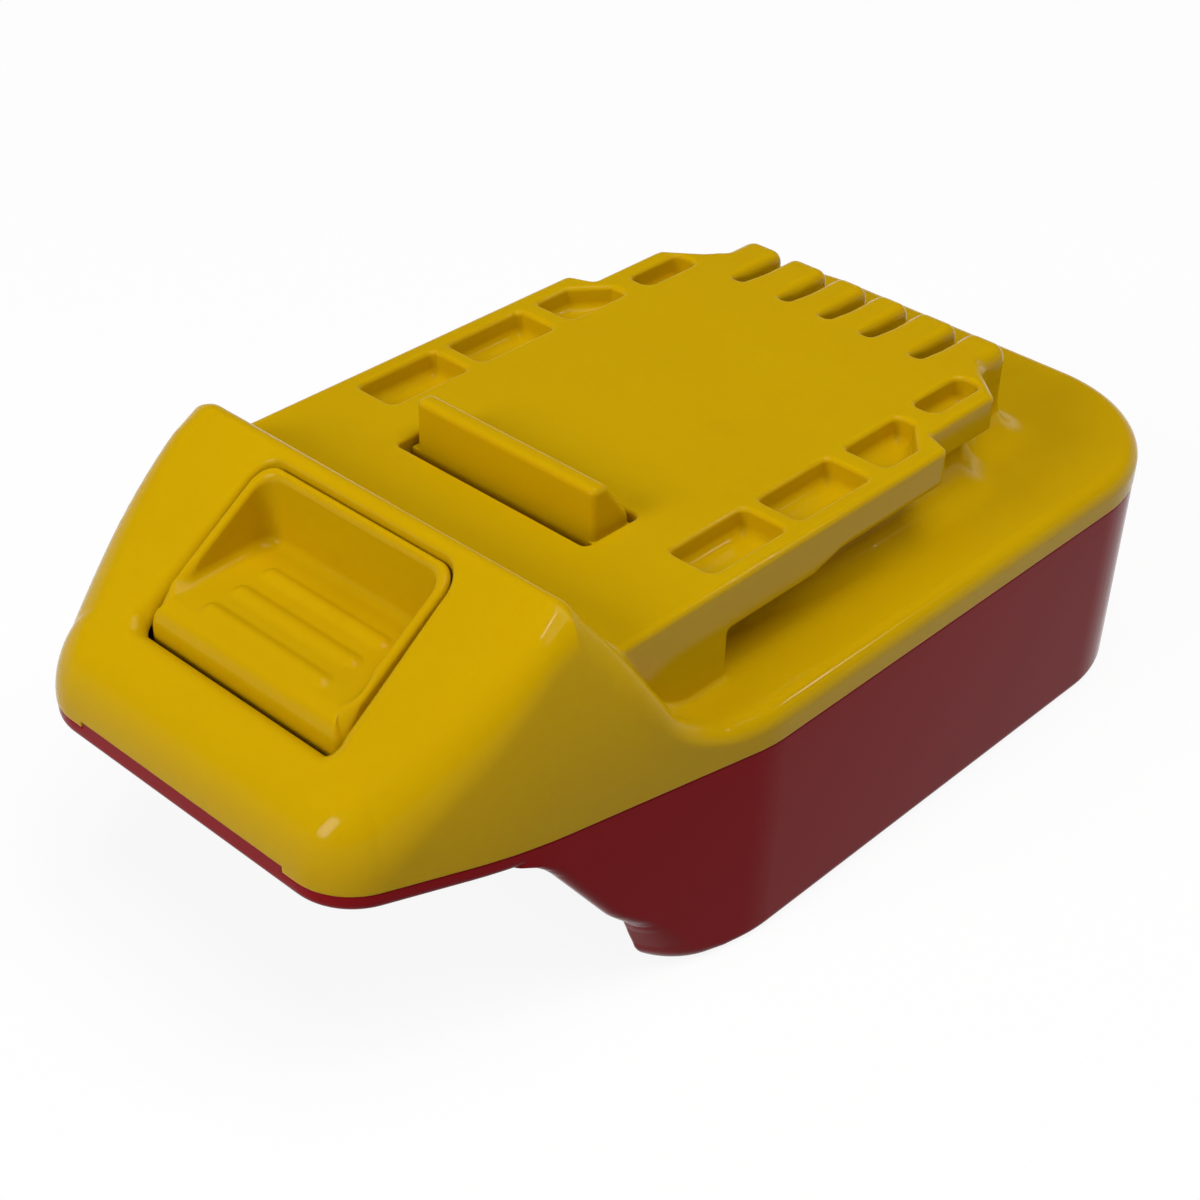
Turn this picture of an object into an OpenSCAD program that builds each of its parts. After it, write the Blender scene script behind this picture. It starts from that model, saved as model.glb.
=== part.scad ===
// Battery adapter: a slide rail for a cordless tool on top, a slide-in socket for another battery pack below.
// Millimetres, +Z up, nose toward -Y, origin at the middle of the underside.

/* [Body] */
// Width over the sides
body_w = 75; // [73:0.5:82]
// Length from nose tip to rear
body_len = 133; // [129:0.5:150]
// Height of the socket below the floor plate
socket_h = 25; // [24:0.5:32]
// Thickness of the floor plate between the socket and the upper shell
floor_t = 2.2; // [2:0.1:3]
// Height of the upper shell's rim, from the seam to the deck
rim_h = 4.5; // [4.4:0.1:6]
// Wall of the upper shell
wall = 2.2; // [1.8:0.1:2.6]
// Wall of the lower shell at the seam
socket_wall = 2.8; // [2.4:0.1:3.2]
// Draft of the socket walls in degrees
draft_deg = 2; // [0.5:0.5:3]
// Radius of the two rear corners
rear_r = 20; // [14:0.5:24]
// Rounding of the deck's edge
deck_r = 2.2; // [1:0.1:2.4]
// Rounding of the lower shell's bottom edge
foot_r = 1.2; // [0.6:0.1:1.8]

/* [Nose] */
// Width of the blunt front, measured to its sharp corners
front_w = 46.4; // [42:0.2:50]
// Rounding of the front corners in plan
front_r = 8; // [6:0.5:10]
// Width where the two side tapers meet
knee_w = 62; // [58:0.5:66]
// Distance of that point behind the nose tip
knee_len = 18.5; // [16:0.5:21]
// Rounding of the sides where the two tapers meet
knee_r = 60; // [30:5:70]
// Distance behind the nose tip at which the sides turn parallel
taper_len = 49; // [44:0.5:54]
// Rounding between the nose slope and the front
tip_r = 9.5; // [9:0.1:10]
// Angle of the nose slope to the deck
slope_deg = 34.4; // [34:0.2:35]
// Height of the nose slope above the seam at the tip
slope_base = 5.3; // [5:0.1:5.6]
// Angle of the nose's rear face to the deck
rear_deg = 58.6; // [56:0.2:62]
// Distance from the tip to the foot of the rear face
rear_foot = 40; // [39:0.5:42]
// Rounding of the ridge
ridge_r = 1.5; // [1:0.1:2]
// Width over the ridge
ridge_w = 57.4; // [54:0.2:60]
// Rounding of the ridge's two ends
ridge_end_r = 4; // [3:0.1:5]
// Fillet between the rear face and the deck
foot_fillet = 8; // [4:0.5:10]
// Width of the raised tongue in the front of the seam
tongue_w = 31.8; // [24:0.2:36]
// Height of that tongue
tongue_h = 0.8; // [0.5:0.1:1]

/* [Tool rail] */
// Height of the rail plate above the deck
rail_h = 12.3; // [12:0.1:14]
// Width over the rail flanges
rail_w = 59.6; // [58.6:0.2:60]
// Width over the narrower rear part of the flanges
rail_rear_w = 52.8; // [52:0.2:55]
// Width of the neck below the flanges
neck_w = 49; // [48.4:0.2:49.4]
// Thickness of the flanges
rail_t = 4.7; // [4.2:0.1:5]
// Thickness of the flanges in front of the ramp
rail_front_t = 6; // [5.4:0.1:6.4]
// Distance from the tip to the end of the groove below the flanges
groove_front = 49.7; // [49:0.1:51]
// Distance from the tip to the ramp's front end
ramp_start = 64; // [60:0.5:68]
// Length of the ramp
ramp_len = 4.5; // [3:0.5:6]
// Distance from the tip to the step in the flanges
rail_step = 87.4; // [86.5:0.1:88.2]
// Distance from the tip to the rear end of the flanges
rail_end = 101.2; // [100:0.2:102]
// Thickness of the plate over the inner bay
plate_t = 2.6; // [2:0.1:3]
// Width of the inner bay
bay_w = 39.2; // [38.4:0.2:40]

/* [Pockets] */
// Distance from the tip to the first pocket
pocket_start = 49.5; // [48.5:0.1:50]
// Lengths of the three pockets
pocket_lens = [12.2, 12.4, 10.1];
// Gaps behind the first and the second pocket
pocket_gaps = [2.2, 2.8, 0];
// Distance of the pockets' inner edges from the middle
pocket_in = 21.2; // [20.8:0.1:22]
// Distance of the pockets' outer edges from the middle
pocket_out = 27.3; // [26.5:0.1:27.8]
// Depth of the pockets
pocket_depth = 3.2; // [2:0.1:3.4]
// Distance from the tip to the small rear slot
slot_start = 92.5; // [91.5:0.1:93]
// Length of the small rear slot
slot_len = 9.6; // [8:0.1:10]
// Width of the small rear slot
slot_w = 2.8; // [2:0.1:3.2]

/* [Contact comb] */
// Width of the comb
comb_w = 41.2; // [40.6:0.2:42]
// Distance from the tip to the comb's rear
comb_end = 113; // [112:0.5:115]
// Distance from the tip to the front of the comb's gaps
gap_start = 102.1; // [101.6:0.1:102.4]
// Distances of the gaps from the middle
gap_x = [-14, -6.5, 0, 6.5, 14];
// Width of the gaps
gap_w = 2.8; // [2.6:0.1:3.2]
// Height of the sill below the teeth, above the deck
sill_h = 3.3; // [3.2:0.1:4]
// Rounding of the teeth's rear ends
tooth_r = 1.8; // [1:0.1:1.8]

/* [Release latch] */
// Width of the latch's slot in the plate
slot_hole_w = 29.2; // [29:0.2:31]
// Distance from the tip to the slot's front edge
slot_hole_start = 43.9; // [43.4:0.1:44.2]
// Length of the slot
slot_hole_len = 8.4; // [8.2:0.1:9]
// Width of the latch wedge
wedge_w = 27.2; // [26:0.2:27.6]
// Height of the wedge above the plate
wedge_h = 5.25; // [4:0.05:5.5]
// Thickness of the wedge along the rail
wedge_len = 5.9; // [5:0.1:6]
// Flat on top of the wedge
wedge_flat = 1.8; // [1:0.1:2.4]
// Clearance behind the wedge in its slot
wedge_gap = 0.3; // [0.2:0.05:0.4]
// Travel of the latch
travel = 5.3; // [4:0.05:5.6]
// Width of the button's opening at its front
btn_front_w = 30.2; // [28:0.1:30.6]
// Width of the button's opening at its rear
btn_rear_w = 30.2; // [28:0.1:30.6]
// Distance from the tip to the opening's front edge
btn_start = 8.4; // [8:0.05:9]
// Length of the opening
btn_len = 17.9; // [17:0.1:18]
// Gap round the button
btn_gap = 0.4; // [0.35:0.05:0.6]
// Rounding of the opening's rear corners
btn_r = 3; // [2.4:0.1:3.4]
// Rim round the thumb scoop
btn_rim = 1.2; // [1:0.1:1.6]
// Height of the scoop's floor above the opening's front edge, where the floor runs out
scoop_lip = 1.6; // [1.2:0.1:2]
// Slope of the scoop's floor in degrees
scoop_deg = 3; // [2:0.2:5]
// Number of grip ribs on the scoop's floor
rib_count = 3; // [2:1:3]
// Spacing of the grip ribs
rib_step = 4; // [3.5:0.05:4.1]
// Length of the grip ribs
rib_len = 19; // [16:0.2:20]
// Distance of the last rib from the scoop's rear wall
rib_back = 4.2; // [3.4:0.1:4.4]
// Height of the grip ribs
rib_h = 0.45; // [0.3:0.05:0.6]
// Width of the bridge between button and wedge
bridge_w = 24; // [22:0.5:25]
// Thickness of the bridge
bridge_t = 3; // [2.6:0.1:3.4]
// Depth of the bridge's upper face below the plate's top
bridge_drop = 6; // [5.6:0.1:6.2]
// Clearance of the sliding faces
slide_gap = 0.3; // [0.2:0.05:0.4]
// Clearance above the latch's stop lugs
stop_gap = 0.1; // [0.05:0.05:0.2]

/* [Latch springs] */
// Wire of the springs
spring_wire = 0.7; // [0.5:0.05:0.8]
// Mean radius of the springs
spring_r = 2.6; // [2.5:0.05:2.9]
// Turns of the springs
spring_turns = 5.5; // [4.5:0.5:6]
// Distance of the springs from the middle
spring_x = 8; // [7:0.1:8.4]
// Distance of the springs behind the nose tip
spring_d = 33; // [31:0.5:35]
// Depth of the spring seats in the bridge
seat_depth = 2; // [1.6:0.1:2.2]

/* [Screws] */
// Radius of the shell screws' shanks
screw_r = 1.25; // [1:0.05:1.4]
// Length of the shell screws' shanks
screw_len = 9; // [7:0.5:10]
// Radius of the shell screws' heads
head_r = 2.5; // [2.2:0.1:2.6]
// Height of the shell screws' heads
head_h = 1.7; // [1.4:0.1:1.8]
// Radius of the inner screws' shanks
small_r = 0.9; // [0.8:0.05:1.1]
// Radius of the inner screws' heads
small_head_r = 1.9; // [1.7:0.1:2]
// Height of the inner screws' heads
small_head_h = 1.3; // [1:0.1:1.4]
// Radial clearance of a shank in its own thread
thread_gap = 0.05; // [0.03:0.01:0.1]
// Radial clearance of a shank in a through hole
through_gap = 0.2; // [0.15:0.05:0.3]
// Radius of the screw bosses
boss_r = 3.5; // [3.3:0.1:3.8]

/* [Tool contacts] */
// Thickness of the circuit board
board_t = 1.6; // [1.2:0.1:1.8]
// Height of the board above the floor plate
board_lift = 1.8; // [1.6:0.1:2]
// Width of the board
board_w = 36; // [34:0.5:36.4]
// Distance from the tip to the board's front edge
board_start = 94; // [93.6:0.1:94.5]
// Length of the board
board_len = 16.5; // [16:0.1:16.8]
// Height of the contact carrier
carrier_h = 2.9; // [2.6:0.1:3]
// Width over a contact clip
clip_w = 2.2; // [2:0.1:2.2]
// Length of a contact clip
clip_len = 7; // [6:0.1:7.2]
// Height of a contact clip above the carrier
clip_h = 6; // [4:0.5:7]
// Sheet thickness of the clips
clip_t = 0.45; // [0.35:0.05:0.5]
// Depth of the clips' seats in the carrier
clip_seat = 1.5; // [1:0.1:1.8]
// Clearance of pressed-in metal in its plastic seat
seat_gap = 0.05; // [0.03:0.01:0.1]

/* [Battery socket] */
// Clear width between the inward rails
socket_rail_w = 61; // [59:0.5:62]
// Height of the rails' undersides above the bottom
socket_rail_z = 8; // [6:0.5:9]
// Thickness of the rails
socket_rail_t = 4; // [3:0.5:4]
// Distance from the tip to the rails' front ends
socket_rail_start = 38; // [37:0.5:42]
// Distance from the tip to the catch notches
catch_start = 54; // [50:0.5:58]
// Length of the catch notches
catch_len = 6; // [4:0.5:8]
// Width of the terminal block
block_w = 37; // [35:0.5:37.5]
// Length of the terminal block
block_len = 16; // [15:0.5:17]
// Height of the terminal block
block_h = 13; // [12:0.5:14]
// Distance from the tip to the terminal block's front
block_start = 84; // [83:0.5:85]
// Distance of the outer blades from the middle
blade_x = 15; // [14:0.1:15.2]
// Thickness of the blades
blade_t = 0.8; // [0.6:0.1:1]
// Length of the blades in front of the block
blade_len = 14; // [10:0.5:16]
// Height of the blades
blade_h = 8; // [6:0.5:8.5]
// Depth of the blades' upper edges below the floor plate
blade_drop = 3; // [2.5:0.1:3.5]
// Radius of the power wires
wire_r = 1.2; // [1:0.05:1.3]
// Radius of the sense wire
sense_wire_r = 0.6; // [0.5:0.05:0.8]
// Bend radius of the wires
wire_bend = 5; // [4.9:0.05:5.2]

/* [Hidden] */

$fn = 48;
// How far a cut runs past the face it opens
past = 1;
// Width of a block that is sure to reach past the whole body
far = 3 * body_len;

// Levels
floor_z = socket_h + floor_t;
seam_z = floor_z;
deck_z = seam_z + rim_h;
plate_z = deck_z + rail_h;
bay_z = plate_z - plate_t;
deck_under_z = deck_z - wall;
shoulder_z = deck_z - deck_r;
sill_z = deck_z + sill_h;
board_z = floor_z + board_lift;
board_top = board_z + board_t;
carrier_top = board_top + carrier_h;
bridge_top = plate_z - bridge_drop;
bridge_under = bridge_top - bridge_t;
spring_top = bridge_under + seat_depth;
block_z = socket_h - block_h;

// Mouldings in one place in the lower shell's floor
boss_h = deck_under_z - floor_z;
head_seat_z = socket_h + head_h + 0.2;

// Y of a point at a given distance behind the nose tip
function fy(d) = d - body_len / 2;

// Unit vector
function unit(v) = v / norm(v);

// A corner b between a and c, rounded to radius r in n steps
function round_corner(a, b, c, r, n) =
    let (u = unit(a - b), v = unit(c - b), half = acos(u * v) / 2,
        centre = b + unit(u + v) * r / sin(half),
        from = b + u * r / tan(half) - centre, to = b + v * r / tan(half) - centre,
        start = atan2(from.y, from.x),
        sweep = (atan2(to.y, to.x) - start + 540) % 360 - 180)
    [for (i = [0:n]) centre + r * [cos(start + sweep * i / n), sin(start + sweep * i / n)]];

// The point x, y of a corner given as x, y, radius
function at(p) = [p.x, p.y];

// A closed outline from corners given as x, y, radius
function rounded(corners, n = 7) =
    let (m = len(corners))
    [for (i = [0:m - 1]) each corners[i].z == 0 ? [at(corners[i])]
        : round_corner(at(corners[(i + m - 1) % m]), at(corners[i]), at(corners[(i + 1) % m]), corners[i].z, n)];

// A right-hand half outline, front to rear, with its mirror image added
function both_sides(half) =
    concat(half, [for (i = [len(half) - 1:-1:0]) [-half[i].x, half[i].y, half[i].z]]);

// The corners of a convex outline moved inward by d
function inset(corners, d) =
    let (m = len(corners))
    [for (i = [0:m - 1])
        let (b = at(corners[i]), u = unit(at(corners[(i + m - 1) % m]) - b), v = unit(at(corners[(i + 1) % m]) - b),
            moved = b + unit(u + v) * d / sin(acos(u * v) / 2))
        [moved.x, moved.y, max(corners[i].z - d, foot_r / 2)]];

// Outline of the body at the seam
plan = both_sides([
    [front_w / 2, fy(0), front_r],
    [knee_w / 2, fy(knee_len), knee_r],
    [body_w / 2, fy(taper_len), 20],
    [body_w / 2, fy(body_len), rear_r]]);

// A flat outline as a solid from z0 to z1
module prism(corners, z0, z1) translate([0, 0, z0]) linear_extrude(z1 - z0) polygon(rounded(corners));

// The body's outline moved inward by d, as a solid from z0 to z1
module plan_prism(d, z0, z1) prism(inset(plan, d), z0, z1);

// The body's outline moved inward by d, as a ring of points at height z
function plan_ring(d, z) = [for (q = rounded(inset(plan, d))) [q.x, q.y, z]];

// A solid skinned through rings of points, with flat ends; each ring turns left seen from the next one's side
module loft(rings) {
    n = len(rings[0]);
    m = len(rings);
    polyhedron(
        points = [for (ring = rings) each ring],
        faces = concat(
            [[for (k = [0:n - 1]) k]],
            [for (i = [0:m - 2]) for (k = [0:n - 1]) let (a = i * n + k, b = i * n + (k + 1) % n)
                each [[a, a + n, b + n], [a, b + n, b]]],
            [[for (k = [n - 1:-1:0]) (m - 1) * n + k]]));
}

// An outline drawn in Y and Z, as a solid across the middle
module across(corners, width) translate([-width / 2, 0, 0]) rotate([90, 0, 90]) linear_extrude(width)
    polygon(rounded(corners));

// A block from one corner to another
module block(low, high) translate(low) cube(high - low);

// Half of what is drawn, limited to Y from y0 to y1
module between(y0, y1) intersection() {
    children();
    block([-far, y0, -far], [far, y1, far]);
}

// Everything below the nose slope, moved down by drop
module below_slope(drop) translate([0, fy(0), seam_z + slope_base - drop / cos(slope_deg)])
    rotate([slope_deg, 0, 0]) block([-far, -far, -far], [far, far, 0]);

// Nose: the slope, the rear face and the rounded edges between them
n_front = [-1, 0];
n_slope = [-sin(slope_deg), cos(slope_deg)];
n_rear = [sin(rear_deg), cos(rear_deg)];
function slope_z(d) = seam_z + slope_base + d * tan(slope_deg);
apex_d = (rim_h - slope_base + rear_foot * tan(rear_deg)) / (tan(slope_deg) + tan(rear_deg));
apex = [apex_d, slope_z(apex_d)];
// Centre of a circle of radius r that touches two faces which meet in a corner
function touching(corner, a, b, r) = corner - r * (a + b) / (1 + a * b);
tip_c = touching([0, seam_z + slope_base], n_front, n_slope, tip_r);
// The rear face meets the height where the rim begins to round at this distance from the tip
rear_low = rear_foot + deck_r / tan(rear_deg);
// Half the body's width at a distance behind the tip, in the nose: front corner, first taper, knee, second taper
side_a = unit([knee_len, (front_w - knee_w) / 2]);
side_b = unit([taper_len - knee_len, (knee_w - body_w) / 2]);
front_c = touching([front_w / 2, 0], side_a, [0, -1], front_r);
knee_c = touching([knee_w / 2, knee_len], side_a, side_b, knee_r);
function half_width(d) =
    d < front_c.y + front_r * side_a.y ? front_c.x + sqrt(max(front_r ^ 2 - (front_c.y - d) ^ 2, 0))
    : d < knee_c.y + knee_r * side_a.y ? front_w / 2 + d * (knee_w - front_w) / 2 / knee_len
    : d < knee_c.y + knee_r * side_b.y ? knee_c.x + sqrt(knee_r ^ 2 - (knee_c.y - d) ^ 2)
    : knee_w / 2 + (d - knee_len) * (body_w - knee_w) / 2 / (taper_len - knee_len);
// The cheeks bow inward from the seam to the ridge
cheek_bow = (half_width(apex_d) - ridge_w / 2) / (apex.y - seam_z) ^ 2;
function bow(z) = cheek_bow * (z - seam_z) ^ 2;
cheek_steps = 3;
// How far the rim stands back from the lower shell at the seam
seam_step = 0.1;
// The deck's own form begins inside the nose, at this distance behind the tip
deck_start = rear_foot - wall * 2;
// Height of the front below its rounding, and the angle at which the rounding is taken up
front_h = 0.3;
tip_a = 25;
arc_steps = 5;

// Stations along the nose as distance, height and corner radius, moved inward by t: front, tip, slope, ridge, foot
function nose_stations(t) =
    let (r = t > 0 ? ridge_end_r : ridge_r, ridge_c = touching(apex, n_slope, n_rear, r), slope_a = 90 - slope_deg,
        rear_a = 90 + rear_deg)
    concat(
        [[t, seam_z + front_h, front_h]],
        [for (a = [tip_a:(slope_a - tip_a) / 3:slope_a + 1]) let (z = tip_c.y + (tip_r - t) * sin(a))
            [tip_c.x - (tip_r - t) * cos(a), z, min(tip_r - t, z - seam_z)]],
        [for (part = [0.6, 1]) let (d = knee_len * part)
            [d, slope_z(d) - t / cos(slope_deg), tip_r - (tip_r - ridge_end_r) * part / 2 - t]],
        [for (a = [slope_a:(rear_a - slope_a) / 3:rear_a + 1])
            [ridge_c.x - (r - t) * cos(a), ridge_c.y + (r - t) * sin(a), ridge_end_r - t]],
        [[rear_low - t / sin(rear_deg), shoulder_z, front_h]]);

// Cross-section of the nose at a station, from the right foot over the top to the left foot
function nose_ring(st, t) =
    let (w = half_width(st.x) - t, start = atan(2 * cheek_bow * (st.y - st.z - seam_z)),
        low = st.y - st.z * (1 - sin(start)), centre = w - bow(low) - st.z * cos(start),
        foot = min(shoulder_z, low - 2 * front_h),
        half = concat([[w - bow(seam_z - past), seam_z - past]],
            [for (i = [0:cheek_steps]) let (z = foot + (low - foot) * i / (cheek_steps + 1)) [w - bow(z), z]],
            [for (i = [0:arc_steps]) let (a = start + (90 - start) * i / arc_steps)
                [centre + st.z * cos(a), st.y - st.z * (1 - sin(a))]]))
    [for (q = concat(half, [for (i = [len(half) - 1:-1:0]) [-half[i].x, half[i].y]])) [q.x, fy(st.x), q.y]];

// The nose as one lofted form from the rear to the front, moved inward by t
module nose_form(t) let (stations = nose_stations(t))
    loft([for (i = [len(stations) - 1:-1:0]) nose_ring(stations[i], t)]);

// Concave fillet between the nose's rear face and the deck
module rear_fillet() {
    reach = foot_fillet * tan(rear_deg / 2);
    foot = [fy(rear_foot), deck_z];
    side = body_w / 2 - (body_w - knee_w) / 2 * (taper_len - rear_foot) / (taper_len - knee_len) - deck_r;
    arc = round_corner(foot + reach * [-cos(rear_deg), sin(rear_deg)], foot, foot + [reach, 0], foot_fillet, 8);
    translate([-side, 0, 0]) rotate([90, 0, 90]) linear_extrude(2 * side)
        polygon(concat(arc, [foot + [reach, -wall / 2], foot - [wall, wall / 2]]));
}

// Deck with its rounded rim
module deck_form() between(fy(deck_start), far)
    loft(concat([plan_ring(seam_step, seam_z - past)],
        [for (a = [0:22.5:90]) plan_ring(seam_step + deck_r * (1 - cos(a)), shoulder_z + deck_r * sin(a))]));

// Rail: the plan of the flanges and their side profile
rail_start = rear_foot - rail_h / tan(rear_deg) - wall;
comb_x = comb_w / 2;
rail_plan = both_sides([
    [rail_w / 2, fy(rail_start), 0],
    [rail_w / 2, fy(rail_step), 1.2],
    [rail_rear_w / 2, fy(rail_step + 1.4), 0.8],
    [rail_rear_w / 2, fy(rail_end), 0.8],
    [comb_x, fy(rail_end + (rail_rear_w / 2 - comb_x) * 0.95), 0.8],
    [comb_x, fy(comb_end - tooth_r), 0]]);
rail_profile = [
    [fy(rail_start), deck_z - wall / 2, 0],
    [fy(groove_front), deck_z - wall / 2, 0],
    [fy(groove_front), plate_z - rail_front_t, 0.4],
    [fy(ramp_start), plate_z - rail_front_t, 0],
    [fy(ramp_start + ramp_len), plate_z - rail_t, 0],
    [fy(comb_end), plate_z - rail_t, 0],
    [fy(comb_end), plate_z, 0],
    [fy(rail_start), plate_z, 0]];
neck_plan = both_sides([
    [neck_w / 2, fy(rail_start), 0],
    [neck_w / 2, fy(rail_end - 1), 2],
    [comb_x, fy(rail_end + 2), 2],
    [comb_x, fy(comb_end), tooth_r]]);

module rail_form() {
    intersection() {
        prism(rail_plan, deck_under_z, plate_z);
        across(rail_profile, rail_w);
    }
    difference() {
        prism(neck_plan, deck_z - wall / 2, plate_z);
        block([-far, fy(rail_end), sill_z], [far, far, far]);
    }
    comb_teeth();
}

// Left and right edges of the comb's teeth, between the gaps
tooth_left = concat([-comb_x], [for (x = gap_x) x + gap_w / 2]);
tooth_right = concat([for (x = gap_x) x - gap_w / 2], [comb_x]);

module comb_teeth() for (i = [0:len(gap_x)])
    prism([[tooth_left[i], fy(gap_start - past), 0], [tooth_right[i], fy(gap_start - past), 0],
        [tooth_right[i], fy(comb_end), tooth_r], [tooth_left[i], fy(comb_end), tooth_r]], deck_z - wall / 2, plate_z);

// The gaps between the teeth, open above and behind, and the windows in the sill that the clips stand in
module comb_gaps() for (x = gap_x) {
    block([x - gap_w / 2, fy(gap_start), sill_z], [x + gap_w / 2, fy(comb_end + past), plate_z + past]);
    block([x - gap_w / 2, fy(gap_start), carrier_top - past], [x + gap_w / 2, fy(clip_end + slide_gap), sill_z + past]);
}

// Distances from the tip to the pockets in the flanges
function pocket_d(i) = i == 0 ? pocket_start : pocket_d(i - 1) + pocket_lens[i - 1] + pocket_gaps[i - 1];

module pockets() for (side = [0, 1]) mirror([side, 0, 0]) {
    for (i = [0:len(pocket_lens) - 1]) {
        near = fy(pocket_d(i));
        rear = near + pocket_lens[i];
        last = i == len(pocket_lens) - 1;
        corner = (pocket_out - pocket_in) * (last ? 0.6 : 0.1);
        prism([[pocket_in, near, 0.6], [pocket_out, near, 0.6], [pocket_out, rear - corner * 1.2, 0.3],
            [pocket_out - corner, rear, 0.3], [pocket_in, rear, 0.6]], plate_z - pocket_depth, plate_z + past);
    }
    let (x = pocket_in + slot_w / 2 - 0.3, near = fy(slot_start) + slot_w / 2)
        translate([0, 0, plate_z - pocket_depth]) linear_extrude(pocket_depth + past) {
            translate([x - slot_w / 2, near]) square([slot_w, slot_len - slot_w]);
            for (y = [near, near + slot_len - slot_w]) translate([x, y]) circle(slot_w / 2);
        }
}

// Opening of the release button, and the same outline moved inward by d
function btn_plan(d) = both_sides([
    [btn_front_w / 2 - d, fy(btn_start) + d, btn_r / 3],
    [btn_rear_w / 2 - d, fy(btn_start + btn_len) - d, btn_r - d]]);

// Places of the shell screws
nose_boss_x = 20;
nose_boss_d = 15;
neck_boss_x = (bay_w + neck_w) / 4;
neck_boss_d = [44, 97];
screw_spots = [for (side = [-1, 1]) each concat([[side * nose_boss_x, fy(nose_boss_d)]],
    [for (d = neck_boss_d) [side * neck_boss_x, fy(d)]])];

// Rear wall of the comb's cavity, and clearance above the carrier
comb_wall = 1.7;
comb_bay_w = board_w + 2 * slide_gap;
comb_bay_z = carrier_top + slide_gap;
bay_end = board_start + (gap_start - board_start) * 0.7;

// Vertical ribs that guide the latch's bridge
guide_d = 42;
guide_t = 2;

module inner_space() difference() {
    union() {
        nose_form(wall);
        between(fy(deck_start), far) plan_prism(wall + seam_step, seam_z - 2 * past, deck_under_z);
        block([-bay_w / 2, fy(btn_start + btn_len - 1), seam_z - past], [bay_w / 2, fy(bay_end), bay_z]);
        block([-comb_bay_w / 2, fy(bay_end - past), seam_z - past],
            [comb_bay_w / 2, fy(comb_end - comb_wall), comb_bay_z]);
    }
    for (side = [-1, 1]) {
        translate([side * nose_boss_x, fy(nose_boss_d), deck_under_z]) cylinder(r = boss_r, h = plate_z);
        let (near = bridge_w / 2 + slide_gap, low = min(side * near, side * bay_w / 2))
            block([low, fy(guide_d), bridge_under - travel], [low + bay_w / 2 - near, fy(guide_d + guide_t), far]);
    }
}

module upper_shell() color([0.79, 0.63, 0.03]) difference() {
    union() {
        nose_form(0);
        deck_form();
        rear_fillet();
        rail_form();
    }
    block([-far, -far, 0], [far, far, seam_z]);
    inner_space();
    pockets();
    comb_gaps();
    prism(btn_plan(0), deck_z - past, far);
    prism(both_sides([[slot_hole_w / 2, fy(slot_hole_start), 0.8],
        [slot_hole_w / 2, fy(slot_hole_start + slot_hole_len), 0.8]]), bay_z - past, plate_z + past);
    block([-tongue_w / 2 - slide_gap / 2, fy(0) - past, seam_z - past],
        [tongue_w / 2 + slide_gap / 2, fy(wall) + past, seam_z + tongue_h]);
    for (p = screw_spots) translate([p.x, p.y, seam_z])
        cylinder(r = screw_r + thread_gap, h = head_seat_z + screw_len + slide_gap - seam_z);
}

// Side profile of the lower shell below the nose: the slanted front edge with its step and rounded toe
deep_profile = [
    [fy(18), floor_z, 0],
    [fy(18), socket_h, 0],
    [fy(21.6), socket_h - 1.4, 5],
    [fy(30.7), socket_h * 0.45, 2],
    [fy(33), socket_h * 0.375, 1.6],
    [fy(35), 0, 4.5],
    [fy(body_len + past), 0, 0],
    [fy(body_len + past), floor_z, 0]];

// Outer form of the deep part, with draft on its walls and a rounded bottom edge
function drafted(z) = (socket_h - z) * tan(draft_deg);
module deep_form() loft(concat(
    [for (a = [0:30:90]) plan_ring(drafted(foot_r) + foot_r * (1 - sin(a)), foot_r * (1 - cos(a)))],
    [plan_ring(0, socket_h), plan_ring(0, floor_z)]));

// The floor plate, with a rounded lower edge that shows below the nose
module floor_plate() loft(concat(
    [for (a = [0:30:90]) plan_ring(foot_r * (1 - sin(a)), socket_h + foot_r * (1 - cos(a)))],
    [plan_ring(0, seam_z)]));

// Space of the battery socket, with its inward rails left standing and the catch notches cut in them
module socket_space() difference() {
    plan_prism(socket_wall, -past, socket_h);
    for (side = [-1, 1]) {
        near = socket_rail_w / 2;
        low = min(side * near, side * body_w);
        for (piece = [[socket_rail_start, catch_start], [catch_start + catch_len, body_len]])
            block([low, fy(piece[0]), socket_rail_z], [low + body_w - near, fy(piece[1]), socket_rail_z + socket_rail_t]);
    }
}

// Upstanding lip that locates the upper shell
lip_t = 1.2;
lip_h = 1.6;
lip_gap = 0.15;

module locating_lip() between(fy(knee_len), far) difference() {
    plan_prism(wall + lip_gap, seam_z - floor_t / 2, seam_z + lip_h);
    plan_prism(wall + lip_gap + lip_t, seam_z - floor_t, seam_z + lip_h + past);
}

// Places on the floor plate
board_screw_x = 8;
board_screw_d = board_start + 2.5;
board_post_d = board_start + board_len - 2.5;
block_screw_x = 8;
block_screw_d = block_start + 6;
tail_d = block_start + 1;
tail_len = 3;
tag_t = 0.8;
tag_lift = 0.5;
blades = [-blade_x, 0, blade_x];
spring_spots = [for (side = [-1, 1]) [side * spring_x, fy(spring_d)]];
post_h = 3;

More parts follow.
